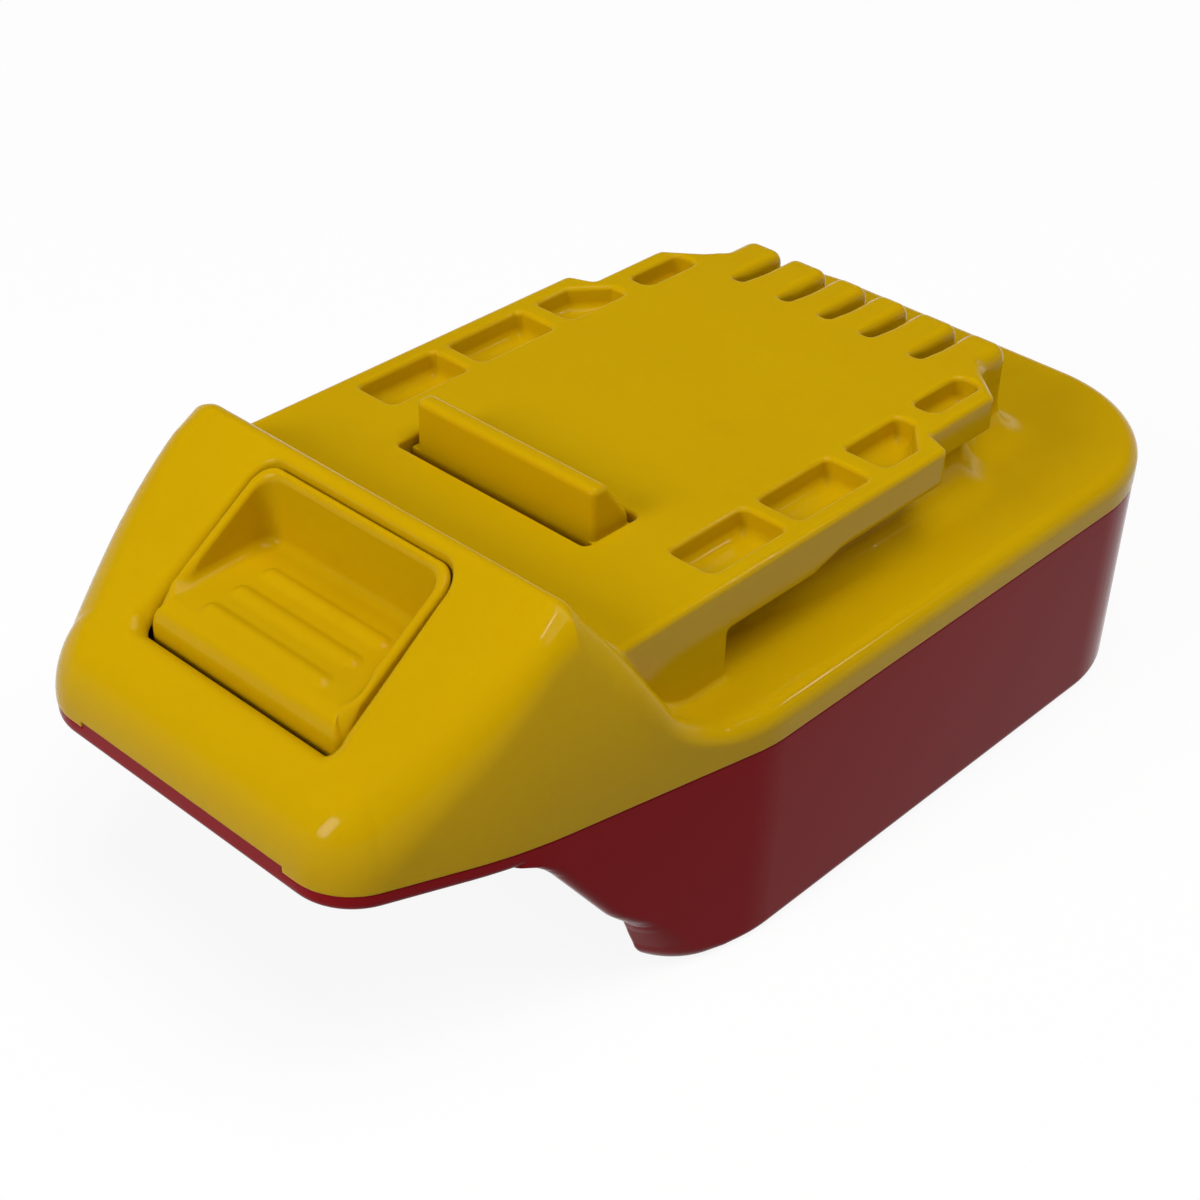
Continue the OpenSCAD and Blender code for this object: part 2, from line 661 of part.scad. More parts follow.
module lower_shell() color([0.5, 0.11, 0.12]) difference() {
    union() {
        floor_plate();
        intersection() {
            deep_form();
            across(deep_profile, far);
        }
        locating_lip();
        intersection() {
            plan_prism(0, seam_z - floor_t / 2, seam_z + tongue_h);
            block([-tongue_w / 2, fy(0), 0], [tongue_w / 2, fy(wall), far]);
        }
        for (p = screw_spots) translate([p.x, p.y, floor_z - past]) cylinder(r = boss_r, h = boss_h + past);
        for (p = spring_spots) translate([p.x, p.y, floor_z - past])
            cylinder(r = spring_r - spring_wire / 2 - slide_gap, h = post_h + past);
        for (side = [-1, 1]) {
            translate([side * board_screw_x, fy(board_screw_d), floor_z - past]) cylinder(r = boss_r - 0.5, h = board_lift + past);
            translate([side * board_screw_x, fy(board_post_d), floor_z - past]) cylinder(r = boss_r - 1.5, h = board_lift + past);
        }
    }
    socket_space();
    for (p = screw_spots) translate([p.x, p.y, socket_h - past]) {
        cylinder(r = screw_r + through_gap, h = far);
        cylinder(r = head_r + through_gap, h = head_seat_z - socket_h + past);
    }
    for (side = [-1, 1]) {
        translate([side * board_screw_x, fy(board_screw_d), carrier_screw_tip - through_gap])
            cylinder(r = small_r + thread_gap, h = far);
        translate([side * block_screw_x, fy(block_screw_d), socket_h - past])
            cylinder(r = small_r + through_gap, h = far);
    }
    for (x = blades) block([x - blade_t / 2 - through_gap, fy(tail_d) - through_gap, socket_h - past],
        [x + blade_t / 2 + through_gap, fy(tail_d + tail_len) + through_gap, floor_z + past]);
}

// Wedge of the latch, drawn in Y and Z
wedge_rear = slot_hole_start + slot_hole_len - wedge_gap;
wedge_profile = [
    [fy(wedge_rear - wedge_len), bridge_under, 0],
    [fy(wedge_rear), bridge_under, 0],
    [fy(wedge_rear), plate_z, 3],
    [fy(wedge_rear - wedge_len + wedge_flat), plate_z + wedge_h, 1],
    [fy(wedge_rear - wedge_len), plate_z + wedge_h, 0.4]];

// Floor of the thumb scoop
scoop_z = slope_z(btn_start) + scoop_lip;
scoop_back = btn_start + btn_len - btn_gap - btn_rim;
function scoop_floor(d) = scoop_z + (d - btn_start - btn_gap) * tan(scoop_deg);

module scoop() intersection() {
    prism(both_sides([
        [btn_front_w / 2 - btn_gap - btn_rim, fy(btn_start - past), 0],
        [btn_rear_w / 2 - btn_gap - btn_rim, fy(scoop_back), btn_r - btn_rim]]), deck_z, far);
    translate([0, fy(btn_start + btn_gap), scoop_z]) rotate([scoop_deg, 0, 0]) block([-far, -far, 0], [far, far, far]);
}

// A grip rib: a round bar with domed ends, sunk into the scoop's floor
rib_r = 1;
module grip_rib(d) translate([0, fy(d), scoop_floor(d) + rib_h - rib_r]) {
    rotate([0, 90, 0]) cylinder(r = rib_r, h = rib_len - 2 * rib_r, center = true);
    for (side = [-1, 1]) translate([side * (rib_len / 2 - rib_r), 0, 0]) sphere(rib_r);
}

lug_w = 4;
lug_len = 4;
lug_d = guide_d - lug_len - 1;
button_floor = 2;

module release_latch() color([0.76, 0.58, 0.02]) {
    difference() {
        union() {
            intersection() {
                prism(btn_plan(btn_gap), bridge_under, far);
                below_slope(0);
            }
            block([-bridge_w / 2, fy(btn_start + btn_len - 2 * btn_rim), bridge_under],
                [bridge_w / 2, fy(wedge_rear - wedge_len / 2), bridge_top]);
            across(wedge_profile, wedge_w);
            for (side = [-1, 1]) block([side * (bridge_w - lug_w) / 2 - lug_w / 2, fy(lug_d), bridge_under],
                [side * (bridge_w - lug_w) / 2 + lug_w / 2, fy(lug_d + lug_len), bay_z - stop_gap]);
        }
        scoop();
        for (p = spring_spots) translate([p.x, p.y, bridge_under - past])
            cylinder(r = spring_r + spring_wire / 2 + slide_gap, h = seat_depth + past);
        // Hollow below the button
        block([-btn_front_w / 2 + 3 * btn_rim, fy(btn_start + 3 * btn_rim), bridge_under - past],
            [btn_front_w / 2 - 3 * btn_rim, fy(scoop_back - btn_rim), scoop_z - button_floor]);
    }
    for (i = [0:rib_count - 1]) grip_rib(scoop_back - rib_back - i * rib_step);
}

// Coil spring: one tube swept along a helix, standing on z = 0
coil_sides = 6;
coil_rings = 8;
function coil_steps() = round(spring_turns * coil_rings);
function coil_centre(i, height) = let (a = 360 * i / coil_rings)
    [spring_r * cos(a), spring_r * sin(a), spring_wire / 2 + (height - spring_wire) * i / coil_steps()];
function coil_ring(i, height) = let (c = coil_centre(i, height), a = 360 * i / coil_rings)
    [for (k = [0:coil_sides - 1]) let (t = 360 * k / coil_sides)
        c + spring_wire / 2 * [cos(a) * cos(t), sin(a) * cos(t), sin(t)]];
// Least gap between turns, measured between ring centres more than half a turn apart
function coil_gap(height) = min([for (i = [0:coil_steps()]) for (j = [i + 1:coil_steps()])
    if (j - i > coil_rings / 2) norm(coil_centre(i, height) - coil_centre(j, height))]) - spring_wire;

module coil(height) {
    n = coil_steps();
    s = coil_sides;
    polyhedron(
        points = [for (i = [0:n]) each coil_ring(i, height)],
        faces = concat(
            [for (i = [0:n - 1]) for (k = [0:s - 1]) each [
                [i * s + k, i * s + (k + 1) % s, (i + 1) * s + k],
                [i * s + (k + 1) % s, (i + 1) * s + (k + 1) % s, (i + 1) * s + k]]],
            [for (k = [1:s - 2]) [0, k + 1, k]],
            [for (k = [1:s - 2]) [n * s, n * s + k, n * s + k + 1]]));
}

module latch_spring(p) color("silver") translate([p.x, p.y, floor_z]) coil(spring_top - floor_z);
module left_latch_spring() latch_spring(spring_spots[0]);
module right_latch_spring() latch_spring(spring_spots[1]);
echo(least_spring_gap = coil_gap(spring_top - floor_z));

// Contact clips: where they stand along the comb
clip_start = gap_start + 0.9;
clip_end = clip_start + clip_len;
clip_z = carrier_top - clip_seat;
pin_w = 0.6;
pin_len = 1.2;
carrier_ear_h = 2;
ear_w = 6;
carrier_screw_len = carrier_ear_h + board_t + board_lift + floor_t * 0.6;
carrier_screw_tip = board_top + carrier_ear_h - carrier_screw_len;

// Pins of the clips as cuts, grown by g
module clip_pins(g) for (x = gap_x)
    block([x - pin_w / 2 - g, fy(clip_start) - g, board_z - past], [x + pin_w / 2 + g, fy(clip_start + pin_len) + g, clip_z + past]);

module contact_carrier() color([0.08, 0.08, 0.09]) difference() {
    union() {
        block([-board_w / 2, fy(clip_start - 0.8), board_top], [board_w / 2, fy(board_start + board_len), carrier_top]);
        for (side = [-1, 1]) block([side * board_screw_x - ear_w / 2, fy(board_start), board_top],
            [side * board_screw_x + ear_w / 2, fy(clip_start), board_top + carrier_ear_h]);
    }
    for (x = gap_x) block([x - clip_w / 2 - seat_gap, fy(clip_start) - seat_gap, clip_z],
        [x + clip_w / 2 + seat_gap, fy(clip_end) + seat_gap, carrier_top + past]);
    clip_pins(seat_gap);
    for (side = [-1, 1]) translate([side * board_screw_x, fy(board_screw_d), board_top - past])
        cylinder(r = small_r + through_gap, h = far);
}

// A fork of sheet metal: two leaves that pinch toward the rear and flare at their ends, and a pin below
module contact_clip(i) color("goldenrod") translate([gap_x[i], fy(clip_start), 0]) {
    w = clip_w / 2;
    pinch = 0.2;
    half = [[w, 0], [w, clip_len * 0.3], [pinch + clip_t, clip_len * 0.8], [w, clip_len],
        [w - clip_t, clip_len], [pinch, clip_len * 0.8], [w - clip_t, clip_len * 0.3], [w - clip_t, clip_t]];
    translate([0, 0, clip_z]) linear_extrude(clip_seat + clip_h)
        polygon(concat(half, [for (k = [len(half) - 1:-1:0]) [-half[k].x, half[k].y]]));
    block([-pin_w / 2, 0, board_z], [pin_w / 2, clip_t, clip_z]);
}
module contact_clip_1() contact_clip(0);
module contact_clip_2() contact_clip(1);
module contact_clip_3() contact_clip(2);
module contact_clip_4() contact_clip(3);
module contact_clip_5() contact_clip(4);

module contact_board() color([0.05, 0.3, 0.12]) difference() {
    block([-board_w / 2, fy(board_start), board_z], [board_w / 2, fy(board_start + board_len), board_top]);
    clip_pins(seat_gap);
    for (side = [-1, 1]) translate([side * board_screw_x, fy(board_screw_d), board_z - past])
        cylinder(r = small_r + through_gap, h = far);
}

// Axial resistor that tells the tool what kind of pack it has
resistor_r = 0.9;
resistor_len = 3.6;
lead_r = 0.25;
lead_span = 6.4;
module identity_resistor() color("tan") translate([0, fy(clip_start - 2.6), board_top]) {
    translate([0, 0, resistor_r + 0.1]) rotate([0, 90, 0]) {
        cylinder(r = resistor_r, h = resistor_len, center = true);
        cylinder(r = lead_r, h = lead_span, center = true);
    }
    for (side = [-1, 1]) translate([side * (lead_span / 2 - lead_r), 0, 0]) cylinder(r = lead_r, h = resistor_r + 0.1);
}

// Blade with its tail through the floor plate and a tag for the wire
blade_in = 8;
blade_top = socket_h - blade_drop;
tag_z = floor_z + tag_lift;
module blade_plate(x, g) {
    block([x - blade_t / 2 - g, fy(block_start - blade_len) - g, blade_top - blade_h - g],
        [x + blade_t / 2 + g, fy(block_start + blade_in) + g, blade_top + g]);
    block([x - blade_t / 2 - g, fy(tail_d) - g, blade_top - past], [x + blade_t / 2 + g, fy(tail_d + tail_len) + g, tag_z + tag_t]);
}
module blade(x) color("silver") {
    blade_plate(x, 0);
    block([x - tail_len / 2, fy(tail_d), tag_z], [x + tail_len / 2, fy(tail_d + tail_len), tag_z + tag_t]);
}
module positive_blade() blade(blades[2]);
module negative_blade() blade(blades[0]);
module sense_blade() blade(blades[1]);

block_screw_len = 8;
module socket_terminal_block() color([0.08, 0.08, 0.09]) difference() {
    prism(both_sides([[block_w / 2, fy(block_start), 1], [block_w / 2, fy(block_start + block_len), 2]]), block_z, socket_h);
    for (x = blades) blade_plate(x, seat_gap);
    for (side = [-1, 1]) translate([side * block_screw_x, fy(block_screw_d), floor_z - block_screw_len - slide_gap])
        cylinder(r = small_r + thread_gap, h = far);
}

// Wire that rises from a blade's tag, turns over and comes down on the board
wire_from = tail_d + tail_len / 2;
wire_z = board_top + 1;
module wire(x, r) translate([x, fy(wire_from + wire_bend), wire_z]) {
    rotate([90, 0, 90]) rotate_extrude(angle = 180) translate([wire_bend, 0]) circle(r);
    translate([0, -wire_bend, tag_z + tag_t - wire_z]) cylinder(r = r, h = wire_z - tag_z - tag_t);
    translate([0, wire_bend, board_top - wire_z]) cylinder(r = r, h = wire_z - board_top);
}
module positive_wire() color("red") wire(blades[2], wire_r);
module negative_wire() color([0.1, 0.1, 0.1]) wire(blades[0], wire_r);
module sense_wire() color("white") wire(blades[1], sense_wire_r);

// A screw standing on its head at z = 0, with a cross recess in the head
module screw(r, length, cap_r, cap_h) difference() {
    union() {
        cylinder(r = r, h = length);
        translate([0, 0, -cap_h]) cylinder(r = cap_r, h = cap_h);
    }
    for (turn = [0, 90]) rotate(turn) block([-cap_r * 0.6, -cap_r * 0.12, -cap_h - past], [cap_r * 0.6, cap_r * 0.12, -cap_h / 2]);
}
module shell_screws() color("gray") for (p = screw_spots) translate([p.x, p.y, head_seat_z])
    screw(screw_r, screw_len, head_r, head_h);
module carrier_screws() color("gray") for (side = [-1, 1])
    translate([side * board_screw_x, fy(board_screw_d), board_top + carrier_ear_h]) mirror([0, 0, 1])
        screw(small_r, carrier_screw_len, small_head_r, small_head_h);
module block_screws() color("gray") for (side = [-1, 1])
    translate([side * block_screw_x, fy(block_screw_d), floor_z]) mirror([0, 0, 1])
        screw(small_r, block_screw_len, small_head_r, small_head_h);

upper_shell();
lower_shell();
release_latch();
left_latch_spring();
right_latch_spring();
contact_carrier();
contact_clip_1();
contact_clip_2();
contact_clip_3();
contact_clip_4();
contact_clip_5();
contact_board();
identity_resistor();
socket_terminal_block();
positive_blade();
negative_blade();
sense_blade();
positive_wire();
negative_wire();
sense_wire();
shell_screws();
carrier_screws();
block_screws();
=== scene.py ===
"""Looks of a tool battery adapter: soft moulded shells, latch, springs, finishes, studio and camera."""

from __future__ import annotations

import logging
import math
from dataclasses import dataclass, field
from enum import Enum
from functools import reduce
from typing import Any, Callable, Sequence, Union

import bpy
import numpy as np
from mathutils import Matrix, Vector

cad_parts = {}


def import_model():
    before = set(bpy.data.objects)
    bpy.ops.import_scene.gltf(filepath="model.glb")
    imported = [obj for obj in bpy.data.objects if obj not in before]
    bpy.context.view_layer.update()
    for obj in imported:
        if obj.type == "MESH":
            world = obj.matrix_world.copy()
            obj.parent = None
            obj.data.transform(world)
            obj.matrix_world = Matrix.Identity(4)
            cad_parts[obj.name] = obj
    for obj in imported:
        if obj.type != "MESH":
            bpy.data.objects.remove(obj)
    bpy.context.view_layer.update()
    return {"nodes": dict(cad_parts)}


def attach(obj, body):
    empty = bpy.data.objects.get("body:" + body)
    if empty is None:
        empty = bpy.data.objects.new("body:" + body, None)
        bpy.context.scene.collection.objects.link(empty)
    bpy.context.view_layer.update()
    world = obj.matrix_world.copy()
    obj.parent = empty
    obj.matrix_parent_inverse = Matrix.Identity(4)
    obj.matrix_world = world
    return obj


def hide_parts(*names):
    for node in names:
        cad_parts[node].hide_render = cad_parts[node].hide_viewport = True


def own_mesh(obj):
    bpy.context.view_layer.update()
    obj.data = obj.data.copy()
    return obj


LOG = logging.getLogger("adapter")
MM = 0.001

# Sizes that the pieces share, in millimetres
NOSE_Y = -66.5
REAR_Y = 66.5
SEAM = 27.2
HALF_WIDTH = 37.5
BEHIND = 140.0
SCREW_SPOTS = ((20.0, 15.0), (22.05, 44.0), (22.05, 97.0))

# Reaches and limits of the mesher in millimetres, and its sharpest turn as a cosine
FACING_REACH = 0.2
NORMAL_REACH = 0.06
SETTLE_REACH = 0.03
LARGEST_MOVE = 0.3
SHORTEST_EDGE = 0.08
SHARP_TURN = 0.965

Grid = np.ndarray
Field = Callable[[Grid, Grid, Grid], Grid]
Number = Union[float, Grid]


# Forms as signed distances in millimetres, negative inside


def meet(a: Grid, b: Grid, radius: Number, lean: Number = 0.0) -> Grid:
    """Keep what lies in both forms, with a round edge between them.

    Args:
        a: Signed distance to the first form.
        b: Signed distance to the second form.
        radius: Radius of the edge.
        lean: Cosine of the angle between the outward normals of the two faces.

    Returns:
        Signed distance to the common part.
    """
    p, q = a + radius, b + radius
    corner = np.sqrt(np.maximum(p * p + q * q - 2 * lean * p * q, 0) / (1 - lean * lean))
    return np.where((p > lean * q) & (q > lean * p), corner, np.maximum(p, q)) - radius


def join(a: Grid, b: Grid, radius: Number) -> Grid:
    """Put two forms together, with a hollow fillet of that radius between them."""
    return -meet(-a, -b, radius)


def cut(a: Grid, b: Grid, radius: Number) -> Grid:
    """Take form b out of form a, with a round edge of that radius."""
    return meet(a, -b, radius)


def span(value: Grid, low: float, high: float) -> Grid:
    """Signed distance to the slab from low to high along one direction."""
    return np.abs(value - (low + high) / 2) - (high - low) / 2


def both(*forms: Grid) -> Grid:
    """Keep what lies in all forms, with sharp edges."""
    return reduce(np.maximum, forms)


def either(*forms: Grid) -> Grid:
    """Put forms together, with sharp edges."""
    return reduce(np.minimum, forms)


@dataclass(frozen=True)
class Outline:
    """A closed flat outline with rounded corners.

    Attributes:
        corners: Corners in order, each as two coordinates and a radius.
        chord: A rounded corner isn't split into chords shorter than about this.
        turn: Nor into chords that turn by less than about this, in degrees.
    """

    corners: tuple[tuple[float, float, float], ...]
    chord: float = 0.2
    turn: float = 4.5

    @classmethod
    def half(cls, *corners: tuple[float, float, float], past: float = -14.0, turn: float = 4.5) -> "Outline":
        """Return an outline with these corners on the right, closed at a place left of the middle."""
        return cls(((past, corners[0][1], 0.0), *corners, (past, corners[-1][1], 0.0)), turn=turn)

    def points(self) -> Grid:
        """Return the outline's points with its corners rounded."""
        found: list[Grid] = []
        count = len(self.corners)
        for i, (u, v, radius) in enumerate(self.corners):
            here = np.array([u, v])
            if radius == 0:
                found.append(here)
                continue
            before = np.array(self.corners[i - 1][:2]) - here
            after = np.array(self.corners[(i + 1) % count][:2]) - here
            before, after = before / np.hypot(*before), after / np.hypot(*after)
            half = math.acos(float(np.clip(before @ after, -1, 1))) / 2
            middle = before + after
            centre = here + middle / np.hypot(*middle) * radius / math.sin(half)
            first = here + before * radius / math.tan(half) - centre
            last = here + after * radius / math.tan(half) - centre
            start = math.atan2(first[1], first[0])
            sweep = (math.atan2(last[1], last[0]) - start + 3 * math.pi) % (2 * math.pi) - math.pi
            by_turn, by_chord = abs(sweep) / math.radians(self.turn), abs(sweep) * radius / self.chord
            steps = max(2, math.ceil(min(by_turn, by_chord)))
            for k in range(steps + 1):
                angle = start + sweep * k / steps
                found.append(centre + radius * np.array([math.cos(angle), math.sin(angle)]))
        return np.array(found)

    def distance(self, u: Grid, v: Grid) -> Grid:
        """Return the signed distance from points to the outline.

        Args:
            u: First coordinates of the points.
            v: Second coordinates of the points.

        Returns:
            Distances, negative inside.
        """
        points = self.points()
        square: Number = 1e9
        inside: Any = False
        for a, b in zip(points, np.roll(points, -1, axis=0)):
            edge = b - a
            du, dv = u - a[0], v - a[1]
            along = np.clip((du * edge[0] + dv * edge[1]) / (edge @ edge), 0, 1)
            square = np.minimum(square, (du - edge[0] * along) ** 2 + (dv - edge[1] * along) ** 2)
            above, below = v >= a[1], v < b[1]
            left = edge[0] * dv > edge[1] * du
            inside = inside ^ ((above & below & left) | ~(above | below | left))
        return np.where(inside, -1.0, 1.0) * np.sqrt(square)

    def facing(self, u: Grid, v: Grid) -> Grid:
        """Return how much the nearest side faces along the second coordinate, from -1 to 1."""
        return (self.distance(u, v + FACING_REACH) - self.distance(u, v - FACING_REACH)) / (2 * FACING_REACH)


def add_mesh(name: str, points: Sequence[Any], faces: Sequence[Any]) -> bpy.types.Object:
    """Add an object with a mesh of that name to the scene."""
    mesh = bpy.data.meshes.new(name)
    mesh.from_pydata(points, [], faces)
    part = bpy.data.objects.new(name, mesh)
    bpy.context.scene.collection.objects.link(part)
    return part


@dataclass
class Mesher:
    """Turns a signed-distance form that is alike on both sides into a mesh with smooth normals.

    Attributes:
        spacing: Grid spacing in millimetres.
        keep: Share of the faces that is kept after flat areas are thinned out.
        rounds: How often faces are split where the surface turns sharply.
    """

    spacing: float = 0.4
    keep: float = 0.3
    rounds: int = 3

    def build(self, name: str, form: Field, low: Sequence[float], high: Sequence[float]) -> bpy.types.Object:
        """Make an object from a form.

        Args:
            name: Name of the object.
            form: Signed distance in millimetres as a function of x, y and z.
            low: Lowest corner of the space to search, on the right of the middle.
            high: Highest corner of that space.

        Returns:
            The new object, in metres.
        """
        points, quads = self._net(form, low, high)
        points, faces = self._thin(self._settle(form, points), quads)
        middle = points[:, 0] < 0.05
        points = self._settle(form, points)
        points[middle, 0] = 0
        for _ in range(self.rounds):
            points, faces = self._split(form, points, faces)
        slope = self._normals(form, points)
        middle = points[:, 0] < 1e-6
        other = np.flatnonzero(~middle)
        twin = np.arange(len(points))
        twin[other] = len(points) + np.arange(len(other))
        flip = np.array([-1.0, 1.0, 1.0])
        part = add_mesh(
            name,
            (np.concatenate([points, points[other] * flip]) * MM).tolist(),
            np.concatenate([faces, twin[faces[:, ::-1]]]).tolist(),
        )
        mesh = part.data
        mesh.polygons.foreach_set("use_smooth", np.ones(len(mesh.polygons), bool))
        mesh.update()
        mesh.normals_split_custom_set_from_vertices(np.concatenate([slope, slope[other] * flip]).tolist())
        return part

    def _thin(self, points: Grid, quads: Grid) -> tuple[Grid, Grid]:
        """Return points and triangles of a mesh that is thinned out where it is flat."""
        dense = add_mesh("dense", points.tolist(), quads.tolist())
        mesh = dense.data
        dense.modifiers.new("thin", "DECIMATE").ratio = self.keep
        thin = dense.evaluated_get(bpy.context.evaluated_depsgraph_get()).to_mesh()
        thin.calc_loop_triangles()
        places = np.zeros(len(thin.vertices) * 3)
        thin.vertices.foreach_get("co", places)
        faces = np.zeros(len(thin.loop_triangles) * 3, np.int32)
        thin.loop_triangles.foreach_get("vertices", faces)
        bpy.data.objects.remove(dense)
        bpy.data.meshes.remove(mesh)
        return places.reshape(-1, 3), faces.reshape(-1, 3)

    def _net(self, form: Field, low: Sequence[float], high: Sequence[float]) -> tuple[Grid, Grid]:
        """Find one point in each grid cell that the surface crosses, and the quads between them.

        Args:
            form: Signed distance as a function of x, y and z.
            low: Lowest corner of the space.
            high: Highest corner of the space.

        Returns:
            Points in millimetres, and four point numbers for each quad.
        """
        step = self.spacing
        axes = [np.arange(a - 1.37 * step, b + 1.63 * step, step) for a, b in zip(low, high)]
        axes[0] = np.arange(-0.5 * step, high[0] + 1.6 * step, step)
        x, y, z = (np.reshape(a, [-1 if k == i else 1 for k in range(3)]) for i, a in enumerate(axes))
        value = form(x, y, z).astype(np.float32)
        inside = value < 0
        shape = np.array(value.shape) - 1
        count = np.zeros(shape, np.int8)
        corners = [(i, j, k) for i in (0, 1) for j in (0, 1) for k in (0, 1)]
        for i, j, k in corners:
            count += inside[i : i + shape[0], j : j + shape[1], k : k + shape[2]]
        cells = np.argwhere((count > 0) & (count < 8))
        number = np.full(shape, -1, np.int64)
        number[tuple(cells.T)] = np.arange(len(cells))
        total = np.zeros((len(cells), 3))
        crossings = np.zeros((len(cells), 1))
        for a in corners:
            for axis in range(3):
                if a[axis]:
                    continue
                b = tuple(1 if k == axis else a[k] for k in range(3))
                va, vb = value[tuple((cells + a).T)], value[tuple((cells + b).T)]
                crossed = (va < 0) != (vb < 0)
                share = np.where(crossed, va / np.where(crossed, va - vb, 1), 0)
                place = np.tile(np.array(a, float), (len(cells), 1))
                place[:, axis] = share
                total += np.where(crossed[:, None], place, 0)
                crossings += crossed[:, None]
        points = (cells + total / crossings) * step + np.array([a[0] for a in axes])
        points[cells[:, 0] == 0, 0] = 0
        quads: list[Grid] = []
        for axis in range(3):
            u, v = (axis + 1) % 3, (axis + 2) % 3
            lower = [slice(None)] * 3
            upper = [slice(None)] * 3
            lower[axis], upper[axis] = slice(0, -1), slice(1, None)
            edges = np.argwhere(inside[tuple(lower)] != inside[tuple(upper)])
            edges = edges[edges[:, 0] > 0]
            out = inside[tuple(edges.T)]
            around = []
            for du, dv in ((0, 0), (1, 0), (1, 1), (0, 1)):
                cell = edges.copy()
                cell[:, u] -= du
                cell[:, v] -= dv
                around.append(number[tuple(cell.T)])
            quad = np.stack(around, axis=1)
            quads.append(np.where(out[:, None], quad, quad[:, ::-1]))
        return points, np.concatenate(quads)

    @staticmethod
    def _slope(form: Field, points: Grid, reach: float) -> Grid:
        """Return the gradient of a form at points, from differences over a reach."""
        columns = []
        for axis in range(3):
            shift = np.zeros(3)
            shift[axis] = reach
            columns.append((form(*(points + shift).T) - form(*(points - shift).T)) / (2 * reach))
        return np.stack(columns, axis=1)

    def _normals(self, form: Field, points: Grid) -> Grid:
        """Return the outward directions of a form's surface at points."""
        slope = self._slope(form, points, NORMAL_REACH)
        return slope / np.maximum(np.linalg.norm(slope, axis=1, keepdims=True), 1e-9)

    def _split(self, form: Field, points: Grid, faces: Grid) -> tuple[Grid, Grid]:
        """Split triangles across which the surface turns sharply.

        Args:
            form: Signed distance as a function of x, y and z.
            points: Points in millimetres.
            faces: Three point numbers for each triangle.

        Returns:
            Points and triangles, with a new point on each edge that was split.
        """
        ends = np.sort(np.stack([faces, np.roll(faces, -1, axis=1)], axis=2), axis=2)
        keys, number = np.unique(ends[..., 0] * len(points) + ends[..., 1], return_inverse=True)
        first, last = keys // len(points), keys % len(points)
        slope = self._normals(form, points)
        turned = (slope[first] * slope[last]).sum(axis=1) < SHARP_TURN
        chosen = turned & (np.linalg.norm(points[first] - points[last], axis=1) > SHORTEST_EDGE)
        fresh = np.full(len(keys), -1)
        fresh[chosen] = len(points) + np.arange(chosen.sum())
        added = self._settle(form, (points[first[chosen]] + points[last[chosen]]) / 2)
        halves = fresh[number.reshape(faces.shape)]
        count = (halves >= 0).sum(axis=1)
        found = [faces[count == 0]]
        for k in range(3):
            a, b, c = np.roll(faces, -k, axis=1).T
            ab, bc, ca = np.roll(halves, -k, axis=1).T
            one = (count == 1) & (ab >= 0)
            two = (count == 2) & (ca < 0)
            halved = ((a, ab, c), (ab, b, c))
            thirds = ((ab, b, bc), (a, ab, bc), (a, bc, c))
            for mask, triples in ((one, halved), (two, thirds)):
                found += [np.stack(triple, axis=1)[mask] for triple in triples]
        a, b, c = faces[count == 3].T
        ab, bc, ca = halves[count == 3].T
        quarters = ((a, ab, ca), (ab, b, bc), (bc, c, ca), (ab, bc, ca))
        found += [np.stack(triple, axis=1) for triple in quarters]
        return np.concatenate([points, added]), np.concatenate(found)

    def _settle(self, form: Field, points: Grid) -> Grid:
        """Return points moved onto the surface of a form."""
        slope = self._slope(form, points, SETTLE_REACH)
        size = np.maximum((slope * slope).sum(axis=1), 0.2)
        return points - slope * np.clip(form(*points.T) / size, -LARGEST_MOVE, LARGEST_MOVE)[:, None]


# Shader building


class Signal:
    """A socket of a node tree that takes part in Python expressions."""

    def __init__(self, tree: "FinishTree", socket: bpy.types.NodeSocket) -> None:
        """Wrap a socket."""
        self.tree = tree
        self.socket = socket

    def _math(self, operation: str, first: Any, second: Any) -> "Signal":
        """Add a Math node and return its output."""
        return self.tree.node("ShaderNodeMath", {"operation": operation}, {0: first, 1: second})

    def __add__(self, other: Any) -> "Signal":
        """Add."""
        return self._math("ADD", self, other)

    __radd__ = __add__

    def __sub__(self, other: Any) -> "Signal":
        """Subtract."""
        return self._math("SUBTRACT", self, other)

    def __rsub__(self, other: Any) -> "Signal":
        """Subtract this from another value."""
        return self._math("SUBTRACT", other, self)

    def __mul__(self, other: Any) -> "Signal":
        """Multiply."""
        return self._math("MULTIPLY", self, other)

    __rmul__ = __mul__

    def least(self, other: Any) -> "Signal":
        """Return the smaller of two values."""
        return self._math("MINIMUM", self, other)


